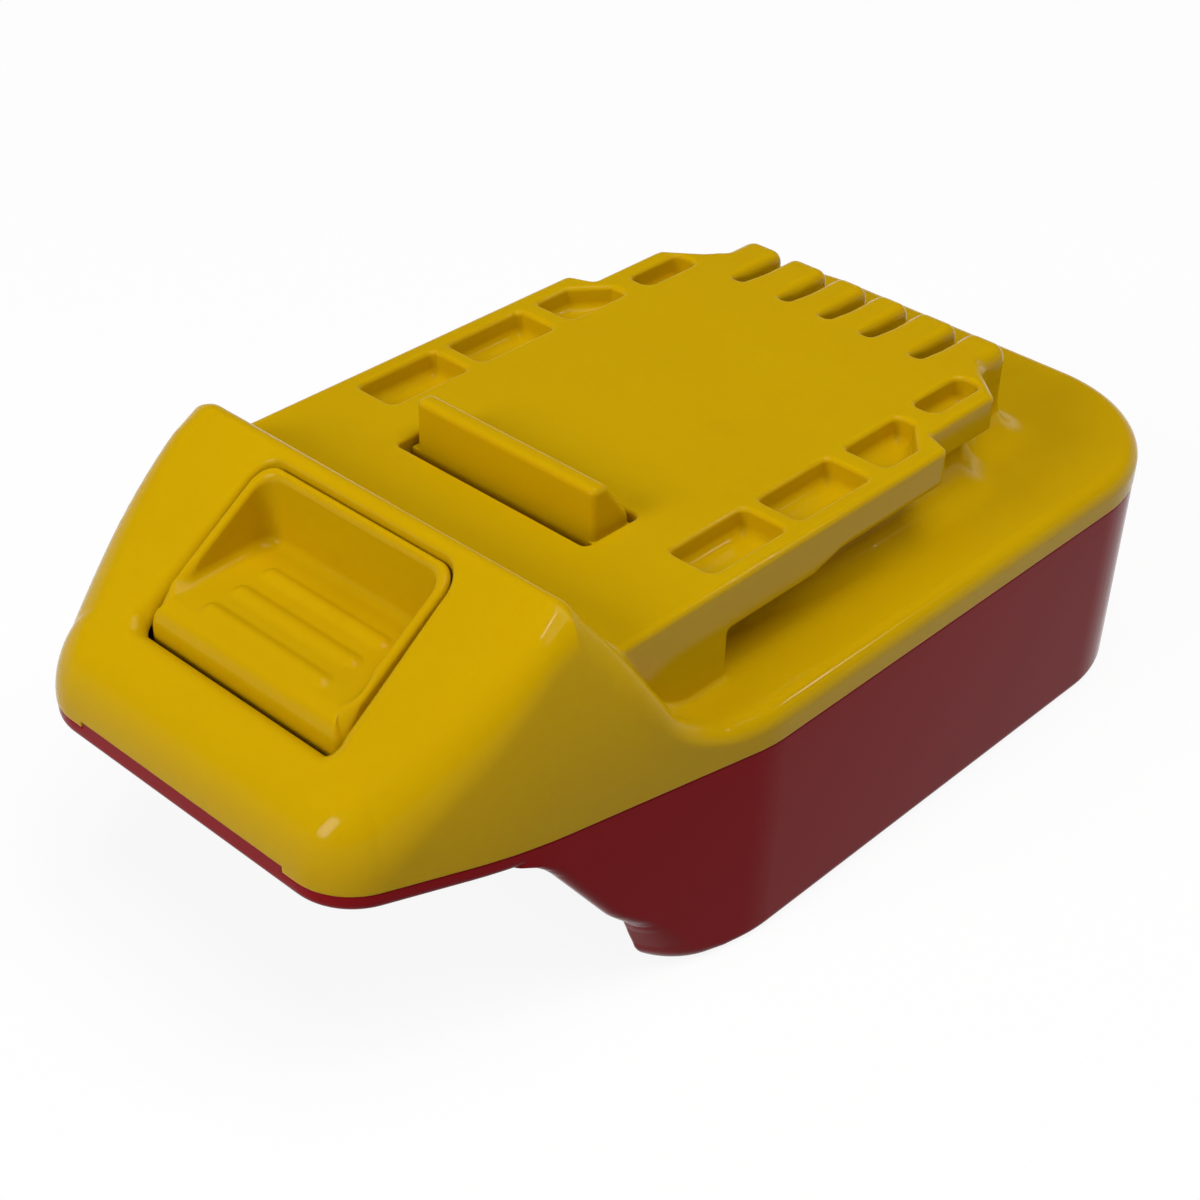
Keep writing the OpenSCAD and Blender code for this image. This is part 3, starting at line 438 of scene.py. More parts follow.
class FinishTree:
    """The node tree of a material or a world, built node by node."""

    def __init__(self, owner: Union[bpy.types.Material, bpy.types.World]) -> None:
        """Start with an empty tree in its owner."""
        self.owner = owner
        owner.use_nodes = True
        self.tree = owner.node_tree
        self.tree.nodes.clear()

    def node(self, kind: str, settings: dict[str, Any], inputs: dict[Any, Any], output: Any = 0) -> Signal:
        """Add a node.

        Args:
            kind: Type name of the node.
            settings: Properties to set first.
            inputs: Values or signals by socket name or number.
            output: Name or number of the output that is returned, or None.

        Returns:
            That output as a signal.
        """
        made = self.tree.nodes.new(kind)
        for key, value in settings.items():
            setattr(made, key, value)
        for key, value in inputs.items():
            if isinstance(value, Signal):
                self.tree.links.new(value.socket, made.inputs[key])
            else:
                made.inputs[key].default_value = value
        return Signal(self, None if output is None else made.outputs[output])

    def place(self) -> Signal:
        """Return positions on the object, which stay with it as it moves."""
        return self.node("ShaderNodeTexCoord", {}, {}, "Object")

    def noise(self, vector: Signal, scale: float, detail: float = 3.0, rough: float = 0.5) -> Signal:
        """Return a noise value around one half."""
        inputs = {"Vector": vector, "Scale": scale, "Detail": detail, "Roughness": rough}
        return self.node("ShaderNodeTexNoise", {}, inputs)

    def stretched(self, vector: Signal, turn: Sequence[float], scale: Sequence[float]) -> Signal:
        """Return positions turned and scaled, for streaks that run one way."""
        return self.node("ShaderNodeMapping", {}, {"Vector": vector, "Rotation": turn, "Scale": scale})

    def ramp(self, factor: Signal, low: float, high: float) -> Signal:
        """Return a value that rises from 0 to 1 between low and high."""
        inputs = {0: factor, 1: low, 2: high, 3: 0.0, 4: 1.0}
        return self.node("ShaderNodeMapRange", {"interpolation_type": "SMOOTHSTEP"}, inputs)

    def blend(self, factor: Any, first: Any, second: Any) -> Signal:
        """Mix two colours."""
        return self.node("ShaderNodeMix", {"data_type": "RGBA"}, {"Factor": factor, 6: first, 7: second}, 2)

    def bump(self, height: Signal, distance: float, strength: float) -> Signal:
        """Return normals tilted by a height."""
        return self.node("ShaderNodeBump", {}, {"Height": height, "Distance": distance, "Strength": strength})

    def surface(self, inputs: dict[str, Any]) -> bpy.types.Material:
        """Close the tree with a surface shader and return the material."""
        return self.close(self.node("ShaderNodeBsdfPrincipled", {}, inputs))

    def close(self, shader: Signal) -> Any:
        """Link a shader to the output and return the tree's owner."""
        kind = "World" if isinstance(self.owner, bpy.types.World) else "Material"
        self.node(f"ShaderNodeOutput{kind}", {}, {"Surface": shader}, None)
        return self.owner


Colour = tuple[float, float, float, float]


def shade(colour: Colour, factor: float) -> Colour:
    """Return a colour made lighter or darker by a factor."""
    return (colour[0] * factor, colour[1] * factor, colour[2] * factor, 1.0)


def grey(level: float) -> Colour:
    """Return a plain grey."""
    return (level, level, level, 1.0)


@dataclass(frozen=True)
class MouldedPlastic:
    """Glossy moulded plastic with flow tint, fine texture, hairline scuffs and a few smudges.

    Attributes:
        name: Name of the material.
        colour: Main colour.
        shadow: Tint of the deeper patches.
        roughness: Roughness where it is clean.
        gloss: Specular level.
        scuffs: Strength of the scuffs.
        depth: Share of the light that scatters below the surface.
    """

    name: str
    colour: Colour
    shadow: Colour
    roughness: float = 0.1
    gloss: float = 0.07
    scuffs: float = 1.0
    depth: float = 0.3

    def make(self) -> bpy.types.Material:
        """Return the material."""
        tree = FinishTree(bpy.data.materials.new(self.name))
        place = tree.place()
        flow = tree.ramp(tree.noise(place, 28.0, 4.0, 0.55), 0.3, 0.75)
        speck = tree.ramp(tree.noise(place, 420.0, 2.0, 0.6), 0.62, 0.8)
        wiped = tree.stretched(place, (0.3, 0.2, 0.6), (30.0, 18.0, 30.0))
        smudge = tree.ramp(tree.noise(wiped, 2.2, 5.0, 0.62), 0.6, 0.78)
        hair_a = tree.noise(tree.stretched(place, (0.1, 0.0, 0.5), (900.0, 26.0, 300.0)), 1.0, 2.0, 0.5)
        hair_b = tree.noise(tree.stretched(place, (0.0, 0.2, -0.9), (1100.0, 34.0, 300.0)), 1.0, 2.0, 0.5)
        hair = tree.ramp(hair_a, 0.68, 0.76) + tree.ramp(hair_b, 0.7, 0.78)
        patch = tree.ramp(tree.noise(place, 45.0, 2.0), 0.5, 0.66)
        scuff = (hair * patch * self.scuffs).least(1.0)
        base = tree.blend(flow * 0.55, self.colour, self.shadow)
        base = tree.blend(smudge * 0.16, base, shade(self.shadow, 0.72))
        base = tree.blend(scuff * 0.1, base, shade(self.colour, 1.35))
        base = tree.blend(speck * 0.07, base, shade(self.shadow, 0.8))
        rough = self.roughness + flow * 0.03 + smudge * 0.1 + scuff * 0.12
        grain = tree.noise(place, 1500.0, 2.0, 0.5) * 0.35 + tree.noise(place, 160.0, 2.0, 0.5) - scuff * 0.25
        return tree.surface(
            {
                "Base Color": base,
                "Roughness": rough,
                "Specular IOR Level": self.gloss,
                "Subsurface Weight": self.depth,
                "Subsurface Radius": (1.0, 0.5, 0.1),
                "Subsurface Scale": 0.0012,
                "Normal": tree.bump(grain, 0.00003, 0.3),
            }
        )


@dataclass(frozen=True)
class MattPlastic:
    """Dark moulded plastic with a spark-eroded texture.

    Attributes:
        name: Name of the material.
        colour: Main colour.
        roughness: Mean roughness.
        grain: Size of the texture's cells, as a noise scale.
    """

    name: str
    colour: Colour
    roughness: float = 0.55
    grain: float = 1300.0

    def make(self) -> bpy.types.Material:
        """Return the material."""
        tree = FinishTree(bpy.data.materials.new(self.name))
        place = tree.place()
        cloud = tree.ramp(tree.noise(place, 60.0, 4.0), 0.3, 0.7)
        dust = tree.ramp(tree.noise(place, 900.0, 2.0, 0.7), 0.62, 0.75)
        base = tree.blend(cloud, shade(self.colour, 0.82), shade(self.colour, 1.15))
        base = tree.blend(dust * 0.12, base, (0.3, 0.29, 0.27, 1.0))
        pits = tree.noise(place, self.grain, 3.0, 0.6)
        return tree.surface(
            {
                "Base Color": base,
                "Roughness": self.roughness + cloud * 0.12 - pits * 0.1,
                "Specular IOR Level": 0.4,
                "Normal": tree.bump(pits, 0.00005, 0.5),
            }
        )


class Lay(Enum):
    """Direction in which a metal's fine lines run."""

    ALONG = (60.0, 1.0, 60.0)
    UPRIGHT = (60.0, 60.0, 1.0)
    ROUND = (24.0, 24.0, 24.0)


@dataclass(frozen=True)
class PlatedMetal:
    """Plated metal with rolling lines, a dull bloom and small stains.

    Attributes:
        name: Name of the material.
        colour: Colour of the clean metal.
        stain: Colour of the stains.
        roughness: Roughness of the clean metal.
        lay: Direction of the lines.
    """

    name: str
    colour: Colour
    stain: Colour
    roughness: float = 0.28
    lay: Lay = Lay.ALONG

    def make(self) -> bpy.types.Material:
        """Return the material."""
        tree = FinishTree(bpy.data.materials.new(self.name))
        place = tree.place()
        lines = tree.noise(tree.stretched(place, (0.0, 0.0, 0.0), self.lay.value), 40.0, 3.0, 0.6)
        bloom = tree.ramp(tree.noise(place, 120.0, 4.0, 0.6), 0.35, 0.75)
        spots = tree.ramp(tree.noise(place, 700.0, 3.0, 0.6), 0.62, 0.76)
        base = tree.blend(bloom * 0.5, self.colour, shade(self.colour, 0.72))
        base = tree.blend(spots * 0.45, base, self.stain)
        return tree.surface(
            {
                "Base Color": base,
                "Metallic": 1.0 - spots * 0.25,
                "Roughness": self.roughness + bloom * 0.16 + lines * 0.12 + spots * 0.15,
                "Normal": tree.bump(lines, 0.00002, 0.4),
            }
        )


# Sub-assemblies


@dataclass(frozen=True)
class BodyPlan:
    """Outline of the body seen from above, shared by both shells.

    Attributes:
        front: Half the width of the blunt front, to its sharp corner.
        knee: Half the width and distance from the tip where the side tapers meet.
        half: Half the width of the parallel part.
        taper: Distance from the tip at which the sides turn parallel.
        length: Length over all.
    """

    front: float = 23.2
    knee: tuple[float, float] = (31.0, 18.5)
    half: float = HALF_WIDTH
    taper: float = 49.0
    length: float = 133.0

    def outline(self) -> Outline:
        """Return the right half of the outline, closed left of the middle."""
        return Outline.half(
            (self.front, 0.0, 8.0),
            (self.knee[0], self.knee[1], 60.0),
            (self.half, self.taper, 20.0),
            (self.half, self.length, 20.0),
            turn=1.6,
        )


@dataclass
class UpperShell:
    """Yellow upper half: nose, deck, slide rail with pockets, comb and openings.

    Attributes:
        plan: Outline of the body.
        seam: Height of the seam.
        deck: Height of the deck.
        plate: Height of the rail plate.
        wall: Wall thickness.
        slope_deg: Angle of the nose slope.
        slope_base: Height of the nose slope above the seam at the tip.
        rear_deg: Angle of the nose's rear face.
        rear_foot: Distance from the tip to the foot of the rear face.
        rail_start: Distance from the tip to the front of the rail, inside the nose.
        rail_half: Half the width over the flanges.
        step_half: Half the width over the rear part of the flanges.
        step_end: Distance from the tip to the end of that part.
        neck_half: Half the width of the neck.
        comb_half: Half the width of the comb.
        gaps: Distances of the comb's gaps from the middle, on the right.
        gap_half: Half the width of a gap.
        comb_end: Distance from the tip to the comb's rear.
        gap_start: Distance from the tip to the front of the gaps.
        gap_floor: Height of the bottom of the gaps.
        pockets: Pockets as start and end from the tip, and the cut of the rear corner.
        pocket_sides: Distances of the pockets' sides from the middle.
        pocket_depth: Depth of the pockets.
        latch_slot: Half the width, start and end of the slot for the wedge.
        button_hole: Half the width, start and end of the opening for the button.
        screw_spots: Screws as distance from the middle and from the tip.
    """

    plan: BodyPlan = field(default_factory=BodyPlan)
    seam: float = SEAM
    deck: float = 31.7
    plate: float = 44.0
    wall: float = 2.2
    slope_deg: float = 34.4
    slope_base: float = 5.3
    rear_deg: float = 58.6
    rear_foot: float = 40.0
    rail_start: float = 29.0
    rail_half: float = 29.8
    step_half: float = 26.4
    step_end: float = 101.2
    neck_half: float = 24.5
    comb_half: float = 20.6
    gaps: tuple[float, ...] = (0.0, 6.5, 14.0)
    gap_half: float = 0.85
    comb_end: float = 113.0
    gap_start: float = 102.1
    gap_floor: float = 35.0
    pockets: tuple[tuple[float, float, float], ...] = (
        (49.5, 61.7, 0.6),
        (63.9, 76.3, 0.6),
        (79.1, 89.2, 3.66),
    )
    pocket_sides: tuple[float, float] = (21.2, 27.3)
    pocket_depth: float = 3.2
    latch_slot: tuple[float, float, float] = (14.6, 43.9, 52.3)
    button_hole: tuple[float, float, float] = (14.92, 8.4, 26.12)
    screw_spots: tuple[tuple[float, float], ...] = SCREW_SPOTS

    def slope(self, d: Grid, z: Grid) -> Grid:
        """Return the distance above the nose slope."""
        turn = math.radians(self.slope_deg)
        return -math.sin(turn) * d + math.cos(turn) * (z - self.seam - self.slope_base)

    def hull(self, ax: Grid, d: Grid, z: Grid) -> Grid:
        """Return the form of nose and deck without the rail.

        Args:
            ax: Distance from the middle.
            d: Distance behind the nose tip.
            z: Height.

        Returns:
            Signed distance.
        """
        turn = math.radians(self.rear_deg)
        rear = math.sin(turn) * (d - self.rear_foot) + math.cos(turn) * (z - self.deck)
        nose = meet(self.slope(d, z), rear, 1.5, math.cos(math.radians(self.slope_deg + self.rear_deg)))
        top = join(nose, both(z - self.deck, 22 - d), 4.0)
        outline = self.plan.outline()
        side = outline.distance(ax, d)
        facing = outline.facing(ax, d)
        front = np.clip((-facing - 0.45) / 0.5, 0, 1)
        rise = np.maximum(z - self.seam, 0)
        lean = np.interp(d, [24, 28], [1, 0]) * np.clip(0.012 * rise - 0.565 * facing, 0, 0.62)
        edge = np.interp(d, [3, 8, 16, 25, 30, 42], [9.0, 8.0, 6.5, 4.2, 3.0, 2.3])
        edge = edge + (9.5 - edge) * front * front * (3 - 2 * front)
        return meet(side + 0.0072 * rise * rise * np.interp(d, [30, 42], [1, 0]), top, edge, lean)

    def rail(self, ax: Grid, d: Grid, z: Grid) -> Grid:
        """Return the form of the slide rail with its comb.

        Args:
            ax: Distance from the middle.
            d: Distance behind the nose tip.
            z: Height.

        Returns:
            Signed distance.
        """
        corner = self.step_end + (self.step_half - self.comb_half) * 0.95
        flange_plan = Outline.half(
            (self.rail_half, self.rail_start, 0.0),
            (self.rail_half, 87.4, 1.2),
            (self.step_half, 88.8, 0.8),
            (self.step_half, self.step_end, 0.9),
            (self.comb_half, corner, 0.0),
        )
        neck_plan = Outline.half(
            (self.neck_half, self.rail_start, 0.0),
            (self.neck_half, 99.0, 3.0),
            (self.comb_half - 0.1, 104.0, 3.0),
            (self.comb_half - 0.1, self.comb_end, 1.8),
        )
        comb_plan = Outline.half((self.comb_half, 95.0, 0.0), (self.comb_half, self.comb_end, 2.0))
        under = np.interp(d, [64.0, 68.5], [self.plate - 6.0, self.plate - 4.7])
        plan = join(flange_plan.distance(ax, d), comb_plan.distance(ax, d), 1.5)
        form = meet(plan, z - self.plate, np.interp(d, [100, 107], [0.8, 1.9]))
        hollow = meet(49.7 - d, z - under, 0.6)
        form = cut(form, both(hollow, self.comb_half - ax), 0.4)
        start = self.gap_start
        for gap in self.gaps:
            low, high = gap - self.gap_half, gap + self.gap_half
            slot = Outline(((low, start, 0.5), (high, start, 0.5), (high, BEHIND, 0.0), (low, BEHIND, 0.0)))
            edge = np.interp(d, [102, 106], [0.6, 1.4])
            form = cut(form, both(slot.distance(ax, d), self.gap_floor - z), edge)
        neck = meet(neck_plan.distance(ax, d), z - self.plate + 0.6, 0.4)
        neck = cut(neck, both(self.step_end - d, self.gap_floor - z), 0.5)
        form = join(form, neck, np.interp(d, [98, 101], [0.5, 0.02]))
        return both(form, 30.3 - z)

    def openings(self, form: Grid, ax: Grid, d: Grid, z: Grid) -> Grid:
        """Cut pockets, latch slot, button opening and seam notch.

        Args:
            form: Signed distance before the cuts.
            ax: Distance from the middle.
            d: Distance behind the nose tip.
            z: Height.

        Returns:
            Signed distance after the cuts.
        """
        floor = self.plate - self.pocket_depth
        draft = np.maximum(self.plate - z, 0) * 0.06
        near, far = self.pocket_sides
        for start, end, corner in self.pockets:
            soft = min(corner, 1.2) / 2
            shape = Outline(
                (
                    (near, start, 1.0),
                    (far, start, 1.0),
                    (far, end - corner * 1.2, soft),
                    (far - corner, end, soft),
                    (near, end, 1.0),
                )
            )
            form = cut(form, meet(shape.distance(ax, d) + draft, floor - z, 1.2), 0.6)
        slot = np.hypot(np.maximum(np.abs(ax - 22.3) - 0.35, 0), np.maximum(span(d, 94.0, 100.6), 0)) - 1.4
        form = cut(form, meet(slot + draft, floor - z, 1.0), 0.6)
        half, start, end = self.latch_slot
        latch_slot = Outline.half((half, start, 0.8), (half, end, 0.8), past=-20.0)
        form = cut(form, both(latch_slot.distance(ax, d), 40.0 - z), 0.45)
        half, start, end = self.button_hole
        button = Outline.half((half, start, 1.0), (half, end, 2.8), past=-20.0)
        facing = np.clip(button.facing(ax, d), -1, 1)
        roll = np.interp(d, [9, 14, 22], [1.8, 1.5, 0.8])
        form = meet(form, -both(button.distance(ax, d), 30.5 - z), roll, 0.56 * facing)
        notch = both(ax - 16.05, d - 3.2, z - self.seam - 0.8)
        return cut(form, notch, 0.15)

    def inside(self, hull: Grid, ax: Grid, d: Grid, z: Grid) -> Grid:
        """Return the hollow inside the shell.

        Args:
            hull: Signed distance to nose and deck.
            ax: Distance from the middle.
            d: Distance behind the nose tip.
            z: Height.

        Returns:
            Signed distance to the hollow.
        """
        bay = both(ax - 19.6, span(d, 25.3, 99.7), z - 41.4)
        comb_bay = both(ax - 18.3, span(d, 98.0, 111.3), z - 33.8)
        hollow = either(hull + self.wall, bay, comb_bay)
        boss_x, boss_d = self.screw_spots[0]
        boss = both(np.hypot(ax - boss_x, d - boss_d) - 3.5, 29.5 - z)
        rib = both(12.3 - ax, span(d, 42.0, 44.0), 29.7 - z)
        return cut(hollow, either(boss, rib), 0.2)

    def form(self, x: Grid, y: Grid, z: Grid) -> Grid:
        """Return the signed distance to the whole shell."""
        ax, d = np.abs(x), y - NOSE_Y
        hull = self.hull(ax, d, z)
        shell = join(hull, self.rail(ax, d, z), np.interp(d, [58, 80], [0.8, 5.0]))
        shell = self.openings(shell, ax, d, z)
        shell = cut(shell, self.inside(hull, ax, d, z), 0.2)
        for gap in self.gaps:
            window = both(np.abs(ax - gap) - 1.4, span(d, 102.3, 110.3), span(z, 32.0, 36.0))
            shell = cut(shell, window, 0.2)
        for spot_x, spot_d in self.screw_spots:
            pilot = both(np.hypot(ax - spot_x, d - spot_d) - 1.3, z - 36.4)
            shell = cut(shell, pilot, 0.1)
        return meet(shell, self.seam - z, 0.25)

    def build(self, mesher: Mesher) -> bpy.types.Object:
        """Return the shell's mesh."""
        low, high = (0.0, NOSE_Y, self.seam), (HALF_WIDTH, REAR_Y, 51.0)
        return mesher.build("upper_shell_moulding", self.form, low, high)


@dataclass
class LowerShell:
    """Red lower half: floor plate, drafted walls, battery socket with its rails, bosses and lip.

    Attributes:
        plan: Outline of the body.
        roof: Height of the socket's roof.
        seam: Height of the seam.
        wall: Wall thickness at the seam.
        draft_deg: Draft of the walls.
        rail_half: Half the clear width between the rails.
        front_heights: Heights along the front edge: toe, step, slant and the bend into the plate.
        front_places: Distances of that edge from the tip at these heights.
        screw_spots: Screws as distance from the middle and from the tip.
        boss: Radius and top of the bosses round these screws.
        posts: Other posts: distance from the middle and from the tip, radius and top.
        pilots: Blind holes: distance from the middle and from the tip, radius and bottom.
    """

    plan: BodyPlan = field(default_factory=BodyPlan)
    roof: float = 25.0
    seam: float = SEAM
    wall: float = 2.8
    draft_deg: float = 0.8
    rail_half: float = 30.5
    front_heights: tuple[float, ...] = (0.0, 4.0, 7.0, 8.5, 9.5, 10.5, 12.0, 21.5, 23.0, 24.2, 25.0)
    front_places: tuple[float, ...] = (36.0, 35.0, 34.1, 33.5, 32.7, 31.6, 30.15, 23.0, 21.6, 20.0, 18.0)
    screw_spots: tuple[tuple[float, float], ...] = SCREW_SPOTS
    boss: tuple[float, float] = (3.5, 29.5)
    posts: tuple[tuple[float, ...], ...] = (
        (8.0, 33.0, 1.95, 30.2),
        (8.0, 96.5, 3.0, 29.0),
        (8.0, 108.0, 2.0, 29.0),
    )
    pilots: tuple[tuple[float, ...], ...] = ((8.0, 90.0, 1.1, 24.0), (8.0, 96.5, 0.95, 25.7))

    def walls(self, plan: Grid, d: Grid, z: Grid) -> Grid:
        """Return the deep part from above at each height: side walls that wrap round to the slanted front.

        Args:
            plan: Signed distance to the outline of the body.
            d: Distance behind the nose tip.
            z: Height.

        Returns:
            Signed distance along the level.
        """
        drafted = plan + np.maximum(self.roof - z, 0) * math.tan(math.radians(self.draft_deg))
        front = np.interp(z, self.front_heights, self.front_places) - d
        return meet(drafted, front, np.interp(z, [0, 4, 8, 13], [9.0, 6.5, 3.5, 1.8]), 0.2)

    def form(self, x: Grid, y: Grid, z: Grid) -> Grid:
        """Return the signed distance to the whole shell."""
        ax, d = np.abs(x), y - NOSE_Y
        plan = self.plan.outline().distance(ax, d) + 0.1
        plate = meet(meet(plan, self.roof - z, 1.2), z - self.seam, 0.2)
        walls = self.walls(plan, d, z)
        deep = meet(walls, -z, np.interp(d, [37, 45], [3.2, 1.3]))
        shell = either(plate, both(deep, z - self.seam + 0.6))
        rails = either(span(d, 38.0, 54.0), span(d, 60.0, BEHIND))
        rails = meet(meet(self.rail_half - ax, span(z, 8.0, 12.0), 0.5), rails, 0.5)
        clear = either(both(plan + self.wall, walls + 2.2), both(plan + self.wall, ax - self.rail_half))
        socket = cut(meet(clear, z - self.roof, 0.9), rails, 0.4)
        shell = cut(shell, socket, 0.7)
        lip = both(span(plan, -3.55, -2.35), span(z, 26.0, 28.8), 18.5 - d)
        tongue = both(ax - 15.9, d - 2.2, span(z, 26.0, 28.0), plan)
        added = either(lip, tongue)
        for spot_x, spot_d, radius, top in (*((*spot, *self.boss) for spot in self.screw_spots), *self.posts):
            post = meet(np.hypot(ax - spot_x, d - spot_d) - radius, z - top, 0.2)
            added = either(added, both(post, 26.0 - z))
        shell = either(shell, added)
        for spot_x, spot_d in self.screw_spots:
            away = np.hypot(ax - spot_x, d - spot_d)
            shell = cut(shell, both(away - 2.7, z - 26.9), 0.3)
            shell = cut(shell, away - 1.45, 0.1)
        for spot_x, spot_d, radius, bottom in self.pilots:
            shell = cut(shell, both(np.hypot(ax - spot_x, d - spot_d) - radius, bottom - z), 0.1)
        tails = np.minimum(np.abs(ax), np.abs(ax - 15.0)) - 0.6
        return cut(shell, both(tails, span(d, 84.8, 88.2), span(z, 24.0, 28.5)), 0.1)

    def build(self, mesher: Mesher) -> bpy.types.Object:
        """Return the shell's mesh."""
        return mesher.build("lower_shell_moulding", self.form, (0.0, NOSE_Y, 0.0), (HALF_WIDTH, REAR_Y, 30.4))


@dataclass
class ReleaseLatch:
    """Yellow latch: thumb button with scoop and ribs, bridge and wedge in one moulding.

    Attributes:
        shell: The shell whose slope the button follows.
        opening: Half the width, start and end of the space for the button.
        gap: Gap round the button.
        rim: Width of the rim round the scoop.
        floor_deg: Slope of the scoop's floor.
        ribs: Distances of the grip ribs from the tip.
        rib_half: Half the length of a rib.
        under: Height of the bridge's underside.
        wedge_half: Half the width of the wedge.
        spring_seat: Distance of a spring's seat from the middle and from the tip, radius and top.
    """

    shell: UpperShell = field(default_factory=UpperShell)
    opening: tuple[float, float, float] = (15.1, 8.4, 26.3)
    gap: float = 0.4
    rim: float = 1.2
    floor_deg: float = 3.0
    ribs: tuple[float, ...] = (20.5, 16.5, 12.5)
    rib_half: float = 9.5
    under: float = 35.0
    wedge_half: float = 13.6
    spring_seat: tuple[float, float, float, float] = (8.0, 33.0, 3.25, 37.0)

    def floor(self, d: Grid) -> Grid:
        """Return the height of the scoop's floor at a distance from the tip."""
        return 39.85 + (d - 8.8) * math.tan(math.radians(self.floor_deg))

    def form(self, x: Grid, y: Grid, z: Grid) -> Grid:
        """Return the signed distance to the whole latch."""
        ax, d = np.abs(x), y - NOSE_Y
        gap, inner = self.gap, self.gap + self.rim
        half, start, end = self.opening
        plan = Outline.half((half - gap, start + gap, 1.0), (half - gap, end - gap, 2.6), past=-20.0)
        scoop = Outline.half((half - inner, 0.0, 0.0), (half - inner, end - inner, 2.2), past=-20.0)
        facing = plan.facing(ax, d)
        edge = np.interp(d, [9, 12], [3.0, 0.6])
        button = meet(plan.distance(ax, d), self.shell.slope(d, z), edge, -0.56 * np.clip(facing, -1, 1))
        hollow = meet(scoop.distance(ax, d), self.floor(d) - z, 1.2)
        soft, lean = np.interp(d, [11, 15], [4.0, 0.55]), np.interp(d, [11, 15], [0.85, 0.0])
        button = meet(button, -hollow, soft, lean)
        button = both(button, self.under - z)
        bridge = both(ax - 12.0, span(d, 23.9, 49.0), span(z, self.under, 38.0))
        profile = Outline(
            (
                (46.1, self.under, 0.0),
                (52.0, self.under, 0.0),
                (52.0, 44.0, 3.0),
                (48.2, 49.25, 1.2),
                (46.1, 49.25, 0.8),
            )
        )
        wedge = meet(profile.distance(d, z), ax - self.wedge_half, 0.8)
        foot = both(ax - 14.35, span(d, 46.1, 51.9), span(z, 37.0, 42.8))
        lug = both(span(ax, 8.0, 12.0), span(d, 37.0, 41.0), span(z, self.under, 41.3))
        form = either(button, lug, foot, join(bridge, wedge, 0.3))
        for place in self.ribs:
            along = np.maximum(ax - self.rib_half + 1.0, 0)
            bar = np.sqrt(along**2 + (d - place) ** 2 + (z - self.floor(np.asarray(place)) + 0.55) ** 2) - 1.0
            form = join(form, bar, 0.5)
        seat_x, seat_d, radius, top = self.spring_seat
        form = cut(form, both(np.hypot(ax - seat_x, d - seat_d) - radius, z - top), 0.15)
        return cut(form, both(ax - 11.5, span(d, 12.0, 23.5), z - 37.95), 0.2)

    def build(self, mesher: Mesher) -> bpy.types.Object:
        """Return the latch's mesh."""
        low, high = (0.0, NOSE_Y + 8.8, self.under), (14.7, NOSE_Y + 52.0, 50.4)
        return mesher.build("latch_moulding", self.form, low, high)


@dataclass
class LatchSpring:
    """Coil spring below the latch, with capped wire ends.

    Attributes:
        name: Name of the piece.
        x: Distance of its axis from the middle.
        y: Position of its axis along the body.
        low: Height of its foot.
        high: Height of its top.
        radius: Mean radius of the coil.
        wire: Radius of the wire.
        turns: Number of turns.
    """

    name: str
    x: float
    y: float = -33.5
    low: float = 27.2
    high: float = 36.94
    radius: float = 2.6
    wire: float = 0.35
    turns: float = 5.5

    def build(self) -> bpy.types.Object:
        """Return the spring's mesh, one tube with slightly thinned, capped wire ends."""
        sides, per_turn = 12, 28
        count = int(self.turns * per_turn)
        rise = self.high - self.low - 2 * self.wire
        points: list[tuple[float, float, float]] = []
        faces: list[tuple[int, ...]] = []
        for i in range(count + 1):
            share = i / count
            angle = 2 * math.pi * self.turns * share
            height = self.low + self.wire + rise * share
            thick = self.wire * (0.8 if i in (0, count) else 1.0)
            for k in range(sides):
                turn = 2 * math.pi * k / sides
                out = self.radius + thick * math.cos(turn)
                points.append(
                    (
                        (self.x + out * math.cos(angle)) * MM,
                        (self.y + out * math.sin(angle)) * MM,
                        (height + thick * math.sin(turn)) * MM,
                    )
                )
            if i < count:
                for k in range(sides):
                    a, b = i * sides + k, i * sides + (k + 1) % sides
                    faces.append((a, a + sides, b + sides, b))
        faces.append(tuple(range(sides)))
        faces.append(tuple(range(count * sides + sides - 1, count * sides - 1, -1)))
        part = add_mesh(self.name, points, faces)
        part.data.polygons.foreach_set("use_smooth", [len(p.vertices) == 4 for p in part.data.polygons])
        part.data.update()
        return part


